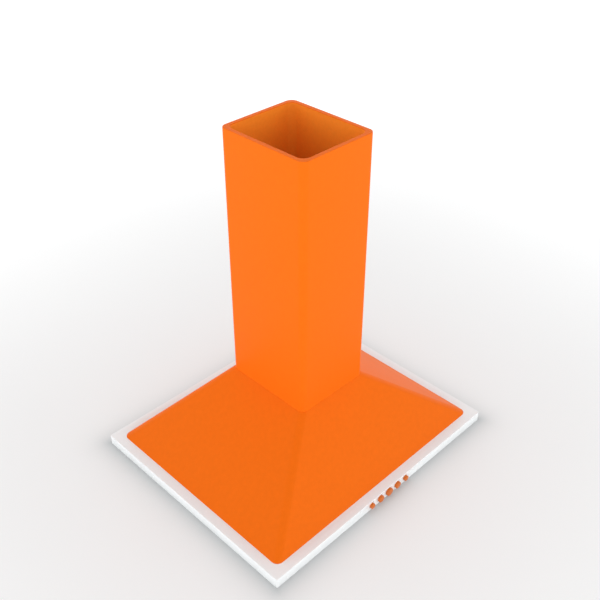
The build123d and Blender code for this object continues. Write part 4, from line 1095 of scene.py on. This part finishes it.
def box_piece(low: Sequence[float], high: Sequence[float], edge: float = 0.2 * MM) -> bpy.types.Object:
    """A block with softened edges.

    Args:
        low: its lowest corner.
        high: its highest corner.
        edge: the width of its bevels.

    Returns:
        The piece.
    """
    bm = bmesh.new()
    bmesh.ops.create_cube(bm, size=1)
    size = [b - a for a, b in zip(low, high)]
    middle = [(a + b) / 2 for a, b in zip(low, high)]
    bm.transform(Matrix.Translation(middle) @ Matrix.Diagonal((*size, 1)))
    bmesh.ops.bevel(bm, geom=bm.edges[:], offset=edge, segments=2, profile=0.6, affect="EDGES")
    return object_from("block", bm)


# ---------------------------------------------------------------- the works
@dataclass
class Blower:
    """The blower's housing, wheel, outlet and damper."""

    edge: float = 0.3 * MM
    blades: int = 30
    blade_depth: float = 11 * MM
    blade_thick: float = 1.2 * MM
    blade_bend: float = 0.28
    blade_lean: float = 32.0
    hub: float = 10 * MM
    hub_half: float = 14 * MM
    bore: float = 4 * MM

    def blade(self, half: float, inner: float) -> bpy.types.Object:
        """One curved blade over the wheel's top, through both of its halves.

        Args:
            half: half the wheel's width.
            inner: the blades' inner radius.

        Returns:
            The blade's piece, about the origin.
        """
        bm = bmesh.new()
        depth, steps = self.blade_depth - 1 * MM, 6
        lean = Matrix.Rotation(math.radians(self.blade_lean), 3, "X")
        rows = []
        for side in (-1, 1):
            for step in range(steps + 1):
                share = (step / steps - 0.5) * (1 if side < 0 else -1)
                bow = self.blade_bend * depth * (0.25 - share * share)
                rows.append(lean @ Vector((0, share * depth, bow + side * self.blade_thick / 2)))
        middle = Vector((0, inner + self.blade_depth / 2, 0))
        ends = [[bm.verts.new(middle + r + Vector((x, 0, 0))) for r in rows] for x in (-half, half)]
        count = len(rows)
        for i in range(count):
            j = (i + 1) % count
            bm.faces.new((ends[0][i], ends[0][j], ends[1][j], ends[1][i]))
        for end in ends:
            bm.faces.new(end)
        return object_from("blade", bm)

    def impeller(self) -> bpy.types.Object:
        """The wheel: blades by a geometry tree, with end rings, middle disc and hub."""
        low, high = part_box("impeller")
        middle, radius, half = (low[2] + high[2]) / 2, (high[2] - low[2]) / 2, high[0]
        inner = radius - self.blade_depth
        blade = self.blade(half - 1 * MM, inner)
        tree = RepeatTree(
            "impeller_blades",
            {"Blades": ("NodeSocketInt", self.blades), "Wheel height": ("NodeSocketFloat", middle)},
        )
        sheet = tree.sheet
        points = sheet.add("GeometryNodeMeshLine", mode="OFFSET")
        sheet.join(tree.value("Blades"), points.inputs["Count"])
        points.inputs["Offset"].default_value = (0, 0, 0)
        lift = sheet.add("ShaderNodeCombineXYZ")
        sheet.join(tree.value("Wheel height"), lift.inputs["Z"])
        sheet.join(lift.outputs[0], points.inputs["Start Location"])
        own = sheet.add("GeometryNodeObjectInfo", transform_space="ORIGINAL")
        own.inputs["Object"].default_value = blade
        index = sheet.add("GeometryNodeInputIndex")
        turn = sheet.math("MULTIPLY", index.outputs[0], 2 * math.pi)
        angle = sheet.add("ShaderNodeCombineXYZ")
        sheet.join(sheet.math("DIVIDE", turn, tree.value("Blades")), angle.inputs["X"])
        spread = sheet.add("GeometryNodeInstanceOnPoints")
        sheet.join(points.outputs["Mesh"], spread.inputs["Points"])
        sheet.join(own.outputs["Geometry"], spread.inputs["Instance"])
        sheet.join(angle.outputs[0], spread.inputs["Rotation"])
        tree.finish_with(spread.outputs[0], FINISHES["fan_moulding"].material())
        blades = tree.baked("blades", carrier_of([(0, 0, 0)], [(0, 0, 1)]))
        bpy.data.objects.remove(blade)
        centre, axis = (0, 0, middle), (1, 0, 0)
        parts = [blades]
        for side in (-1, 1):
            ends = sorted((side * half, side * (half - 2 * MM)))
            ring = rounded([(ends[0], inner), (ends[0], radius), (ends[1], radius), (ends[1], inner)], 0.4 * MM)
            parts.append(spun("ring", ring, axis, centre, 72))
        disc = [(-self.hub_half, self.bore), (-self.hub_half, self.hub), (-1 * MM, self.hub + 1.5 * MM), (-1 * MM, radius)]
        disc += [(-a, r) for a, r in reversed(disc)]
        parts.append(spun("disc", rounded(disc, 0.4 * MM), axis, centre, 72))
        return joined("impeller_piece", parts)

    def build(self) -> None:
        """Makes and dresses the blower."""
        for node in ("blower_half_left", "blower_half_right", "outlet_adapter"):
            dress(refined(node, self.edge), node)
        for node in ("damper_pins", "damper_flap_left", "damper_flap_right"):
            dress(refined(node, 0.15 * MM), node)
        dress(self.impeller(), "impeller")
        ScrewGroup("blower_screws").build()


@dataclass
class Motor:
    """The motor on its three-arm bracket: can, cap, bushes, stator with coils, rotor and shaft."""

    edge: float = 0.3 * MM
    poles: int = 8
    coil: float = 3.2 * MM

    def stator(self) -> bpy.types.Object:
        """The laminated ring with a bundle of wire round each pole."""
        low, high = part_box("stator")
        middle, radius = (low[2] + high[2]) / 2, (high[2] - low[2]) / 2
        bore = (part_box("rotor")[1][2] - middle) + 0.4 * MM
        parts = []
        iron = [(low[0] + 5 * MM, bore), (low[0] + 5 * MM, radius), (high[0] - 5 * MM, radius), (high[0] - 5 * MM, bore)]
        parts.append(spun("iron", iron, (1, 0, 0), (0, 0, middle), 64))
        reach = (bore + radius) / 2
        for pole in range(self.poles):
            angle = 2 * math.pi * pole / self.poles
            path = []
            for step in range(25):
                turn = 2 * math.pi * step / 24
                spread = angle + 0.26 * math.cos(turn)
                x = (low[0] + high[0]) / 2 + (high[0] - low[0] - 2 * self.coil) / 2 * math.sin(turn)
                path.append(Vector((x, reach * math.cos(spread), middle + reach * math.sin(spread))))
            parts.append(tube("coil", path, self.coil, 10))
        return joined("stator_piece", parts)

    def build(self) -> None:
        """Makes and dresses the motor."""
        dress(self.stator(), "stator")
        for node in ("motor_can", "motor_end_cap", "motor_bracket", "motor_mounts", "motor_bushes", "rotor", "motor_shaft"):
            dress(refined(node, self.edge if node != "motor_bushes" else 0.15 * MM), node)
        dress(refined("capacitor", 0.6 * MM), "capacitor")
        ScrewGroup("motor_screws").build()


@dataclass
class HangingFrame:
    """The blower plate, the four uprights and the top bracket, with their screws."""

    edge: float = 0.25 * MM

    def build(self) -> None:
        """Makes and dresses the frame."""
        corners = [f"upright_{end}_{side}" for end in ("front", "rear") for side in ("left", "right")]
        for node in ["blower_plate", "top_bracket", *corners]:
            dress(refined(node, self.edge), node)
        ScrewGroup("frame_screws").build()


@dataclass
class Lamp:
    """One lamp under the rim's front: a turned cup and a pressed lens."""

    side: str
    lens_drop: float = 1.2 * MM

    def build(self) -> None:
        """Makes and dresses the lamp."""
        dress(refined(f"lamp_housing_{self.side}", 0.4 * MM), f"lamp_housing_{self.side}")
        low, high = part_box(f"lamp_lens_{self.side}")
        middle = ((low[0] + high[0]) / 2, (low[1] + high[1]) / 2, low[2])
        radius, thick = (high[0] - low[0]) / 2, high[2] - low[2]
        bowl = [(self.lens_drop * (i / 8) ** 2, radius * (1 - i / 8) * 0.9) for i in range(8)]
        face = [(0.0, radius * 0.9 + 0.3 * MM), (0.0, radius - 0.3 * MM), (0.3 * MM, radius)]
        profile = [(thick * 0.6, 0)] + [(a, r) for a, r in reversed(bowl)] + face + [(thick, radius), (thick, 0)]
        lens = spun(f"lamp_lens_{self.side}_piece", profile, (0, 0, 1), middle, 64)
        dress(lens, f"lamp_lens_{self.side}")


@dataclass
class GreaseFilter:
    """One drop-down filter: extruded rails round two crossed layers of expanded metal."""

    side: str
    link_x: float = 8 * MM
    link_y: float = 4.4 * MM
    strand: float = 0.9 * MM
    thick: float = 0.5 * MM
    lift: float = 0.35 * MM

    def link(self, turn: float) -> bpy.types.Object:
        """One crossing of two strands, about the origin.

        Args:
            turn: how far the crossing is turned about Z.

        Returns:
            The crossing's piece.
        """
        bm = bmesh.new()
        ends = [(sx * self.link_x / 2, sy * self.link_y / 2) for sx, sy in ((1, 1), (-1, 1), (-1, -1), (1, -1))]
        for x, y in ends:
            across = Vector((-y, x, 0)).normalized() * self.strand / 2
            rings = []
            for share, height in ((0.0, -self.lift), (1.0, self.lift)):
                spot = Vector((x * share, y * share, height))
                up = Vector((0, 0, self.thick / 2))
                rings.append([bm.verts.new(spot + s * across + t * up) for s, t in ((1, 1), (-1, 1), (-1, -1), (1, -1))])
            for i in range(4):
                j = (i + 1) % 4
                bm.faces.new((rings[0][i], rings[0][j], rings[1][j], rings[1][i]))
            for ring in rings:
                bm.faces.new(ring)
        bm.transform(Matrix.Rotation(turn, 4, "Z"))
        return object_from("link", bm)

    def layer(self, height: float, turned: bool) -> bpy.types.Object:
        """One layer of expanded metal, less the notch under the finger scoop.

        Args:
            height: the layer's middle.
            turned: whether its diamonds run front to back.

        Returns:
            The layer's piece.
        """
        low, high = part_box(f"filter_mesh_{self.side}")
        step = (self.link_y, self.link_x) if turned else (self.link_x, self.link_y)
        margin = 1.0 * MM
        count = [int((high[k] - low[k] - step[k] - 2 * margin) / step[k]) + 1 for k in (0, 1)]
        tree = RepeatTree(
            f"mesh_{self.side}_{turned}",
            {
                "Width": ("NodeSocketFloat", step[0] * (count[0] - 1)),
                "Depth": ("NodeSocketFloat", step[1] * (count[1] - 1)),
                "Across": ("NodeSocketInt", count[0]),
                "Along": ("NodeSocketInt", count[1]),
                "Scoop half": ("NodeSocketFloat", 42 * MM + step[0] / 2),
                "Scoop depth": ("NodeSocketFloat", 24 * MM + step[1] / 2),
            },
        )
        sheet = tree.sheet
        grid = sheet.add("GeometryNodeMeshGrid")
        for label, socket in (("Width", "Size X"), ("Depth", "Size Y"), ("Across", "Vertices X"), ("Along", "Vertices Y")):
            sheet.join(tree.value(label), grid.inputs[socket])
        spot = sheet.add("GeometryNodeInputPosition")
        split = sheet.add("ShaderNodeSeparateXYZ")
        sheet.join(spot.outputs[0], split.inputs[0])
        near_x = sheet.math("LESS_THAN", sheet.math("ABSOLUTE", split.outputs["X"]), tree.value("Scoop half"))
        front = sheet.math("MULTIPLY", tree.value("Depth"), -0.5)
        limit = sheet.math("ADD", front, tree.value("Scoop depth"))
        inside = sheet.math("MULTIPLY", near_x, sheet.math("LESS_THAN", split.outputs["Y"], limit))
        cut = sheet.add("GeometryNodeDeleteGeometry", domain="POINT")
        sheet.join(grid.outputs["Mesh"], cut.inputs["Geometry"])
        sheet.join(inside, cut.inputs["Selection"])
        own = sheet.add("GeometryNodeObjectInfo", transform_space="ORIGINAL")
        link = self.link(math.pi / 2 if turned else 0.0)
        own.inputs["Object"].default_value = link
        spread = sheet.add("GeometryNodeInstanceOnPoints")
        sheet.join(cut.outputs[0], spread.inputs["Points"])
        sheet.join(own.outputs["Geometry"], spread.inputs["Instance"])
        shift = sheet.add("GeometryNodeTranslateInstances")
        shift.inputs["Local Space"].default_value = False
        shift.inputs["Translation"].default_value = ((low[0] + high[0]) / 2, (low[1] + high[1]) / 2, height)
        sheet.join(spread.outputs[0], shift.inputs[0])
        tree.finish_with(shift.outputs[0], FINISHES["filter_mesh"].material())
        made = tree.baked("layer", carrier_of([(0, 0, 0)], [(0, 0, 1)]))
        bpy.data.objects.remove(link)
        return made

    def build(self) -> None:
        """Makes and dresses the filter."""
        low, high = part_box(f"filter_mesh_{self.side}")
        middle, apart = (low[2] + high[2]) / 2, 0.75 * MM
        layers = [self.layer(middle - apart, False), self.layer(middle + apart, True)]
        dress(joined(f"filter_mesh_{self.side}_piece", layers), f"filter_mesh_{self.side}")
        dress(refined(f"filter_frame_{self.side}", 0.5 * MM), f"filter_frame_{self.side}")
        dress(refined(f"filter_magnets_{self.side}", 0.3 * MM), f"filter_magnets_{self.side}")


@dataclass
class Electrics:
    """The terminal box on the tray's rear, its lid and its gland."""

    edge: float = 0.4 * MM

    def build(self) -> None:
        """Makes and dresses the box and its fittings."""
        for node in ("terminal_box", "terminal_lid", "cable_gland"):
            dress(refined(node, self.edge), node)


# ---------------------------------------------------------------- the studio
@dataclass(frozen=True)
class PaintedShadowFloorPaper(Finish):
    """Pale studio paper with a painted contact shadow beside the hood's rim and painted light rising further out, both
    made with emission.
    """

    # Half sizes of the rim's outline on the floor, round which the contact shadow is painted into the emission
    painted_shadow_half_x: float = 300 * MM
    painted_shadow_half_y: float = 250 * MM
    painted_contact_shadow_depth: float = 0.37
    painted_contact_shadow_reach: float = 22 * MM
    painted_far_glow: float = 0.33
    painted_far_glow_reach: float = 1.8

    def clearance(self, sheet: NodeSheet) -> bpy.types.NodeSocket:
        """How far a point of the floor lies outside the rim's outline.

        Args:
            sheet: the material's nodes.

        Returns:
            The distance, as a socket.
        """
        place = sheet.add("ShaderNodeTexCoord")
        size = sheet.add("ShaderNodeVectorMath", operation="ABSOLUTE")
        sheet.join(place.outputs["Object"], size.inputs[0])
        past = sheet.add("ShaderNodeVectorMath", operation="SUBTRACT")
        sheet.join(size.outputs[0], past.inputs[0])
        past.inputs[1].default_value = (self.painted_shadow_half_x, self.painted_shadow_half_y, 0)
        outside = sheet.add("ShaderNodeVectorMath", operation="MAXIMUM")
        sheet.join(past.outputs[0], outside.inputs[0])
        far = sheet.add("ShaderNodeVectorMath", operation="LENGTH")
        sheet.join(outside.outputs[0], far.inputs[0])
        return far.outputs["Value"]

    def extra(self, sheet: NodeSheet, shader: bpy.types.Node) -> None:
        """Adds painted light as emission: none at the rim's outline, which leaves a painted contact shadow there, then
        a quick rise beside the rim and a slow painted glow further out.

        Args:
            sheet: the material's nodes.
            shader: the principled shader.
        """
        # Painted light: the emission is zero at the rim's outline (a painted contact shadow) and grows with distance
        # from it (a painted glow)
        distance = self.clearance(sheet)
        fade = sheet.add("ShaderNodeMath", operation="DIVIDE")
        sheet.join(distance, fade.inputs[0])
        fade.inputs[1].default_value = -self.painted_contact_shadow_reach
        left = sheet.add("ShaderNodeMath", operation="EXPONENT")
        sheet.join(fade.outputs[0], left.inputs[0])
        near = sheet.add("ShaderNodeMapRange")
        near.inputs["To Min"].default_value = self.painted_contact_shadow_depth
        near.inputs["To Max"].default_value = 0.0
        sheet.join(left.outputs[0], near.inputs["Value"])
        far = sheet.add("ShaderNodeMapRange", interpolation_type="SMOOTHSTEP")
        far.inputs["From Max"].default_value = self.painted_far_glow_reach
        far.inputs["To Max"].default_value = self.painted_far_glow
        sheet.join(distance, far.inputs["Value"])
        both = sheet.add("ShaderNodeMath", operation="ADD")
        sheet.join(near.outputs[0], both.inputs[0])
        sheet.join(far.outputs[0], both.inputs[1])
        shader.inputs["Emission Color"].default_value = (1, 1, 1, 1)
        sheet.join(both.outputs[0], shader.inputs["Emission Strength"])


@dataclass
class Studio:
    """The floor, the light and the camera."""

    place: Point = (-0.9055, -0.9122, 1.2540)
    heading: float = 45.0
    pitch: float = 35.40
    lens: float = 50.13
    sensor: float = 36.0
    floor_size: float = 16.0
    floor_tone: float = 0.56
    zenith: float = 0.25
    horizon: float = 2.15
    below: float = 0.45
    below_reach: float = 0.3

    def floor(self) -> None:
        """The pale floor."""
        bm = bmesh.new()
        bmesh.ops.create_grid(bm, x_segments=1, y_segments=1, size=self.floor_size / 2)
        piece = object_from("studio_floor", bm)
        tone = (self.floor_tone, self.floor_tone * 1.015, self.floor_tone * 1.02)
        # The paper carries a painted contact shadow round the rim and painted light further out
        paper = PaintedShadowFloorPaper("studio_paper", tone, 0.004, grain_size=0.2, gloss=(0.8, 0.9), specular=0.1)
        piece.data.materials.append(paper.material())

    def light(self) -> None:
        """A white surround, brightest near the floor, as a ring of soft boxes gives."""
        world = bpy.data.worlds.new("studio")
        world.use_nodes = True
        sheet = NodeSheet(world.node_tree)
        glow = world.node_tree.nodes["Background"]
        glow.inputs["Color"].default_value = (1, 1, 1, 1)
        place = sheet.add("ShaderNodeTexCoord")
        split = sheet.add("ShaderNodeSeparateXYZ")
        sheet.join(place.outputs["Generated"], split.inputs[0])
        ramp = sheet.add("ShaderNodeMapRange")
        ramp.inputs["To Min"].default_value = self.horizon
        ramp.inputs["To Max"].default_value = self.zenith
        sheet.join(split.outputs["Z"], ramp.inputs["Value"])
        below = sheet.add("ShaderNodeMapRange")
        below.inputs["From Min"].default_value = -self.below_reach
        below.inputs["From Max"].default_value = -self.below_reach / 3
        below.inputs["To Min"].default_value = self.below
        below.inputs["To Max"].default_value = self.horizon
        sheet.join(split.outputs["Z"], below.inputs["Value"])
        both = sheet.math("MINIMUM", ramp.outputs[0], below.outputs[0])
        sheet.join(both, glow.inputs["Strength"])
        bpy.context.scene.world = world

    def camera(self) -> None:
        """The camera, level from side to side."""
        data = bpy.data.cameras.new("camera")
        data.lens, data.sensor_width = self.lens, self.sensor
        data.clip_start, data.clip_end = 0.01, 50.0
        stand = bpy.data.objects.new("camera", data)
        stand.location = self.place
        stand.rotation_euler = (math.radians(90 - self.pitch), 0, -math.radians(self.heading))
        bpy.context.scene.collection.objects.link(stand)
        bpy.context.scene.camera = stand

    def build(self) -> None:
        """Makes the whole studio."""
        self.floor()
        self.light()
        self.camera()
        bpy.context.scene.view_settings.view_transform = "Standard"


def main() -> None:
    """Builds and dresses the hood in order, then the studio."""
    logging.basicConfig(level=logging.INFO, format="%(name)s %(message)s")
    groups = [Studio(), Rim(), Canopy(), Chimney(), HangingFrame(), Blower(), Motor(), Controls(), Electrics()]
    groups += [part(side) for part in (Lamp, GreaseFilter) for side in ("left", "right")]
    for group in groups:
        group.build()
        LOG.info("built %s", type(group).__name__)


if __name__ == "__main__":
    main()
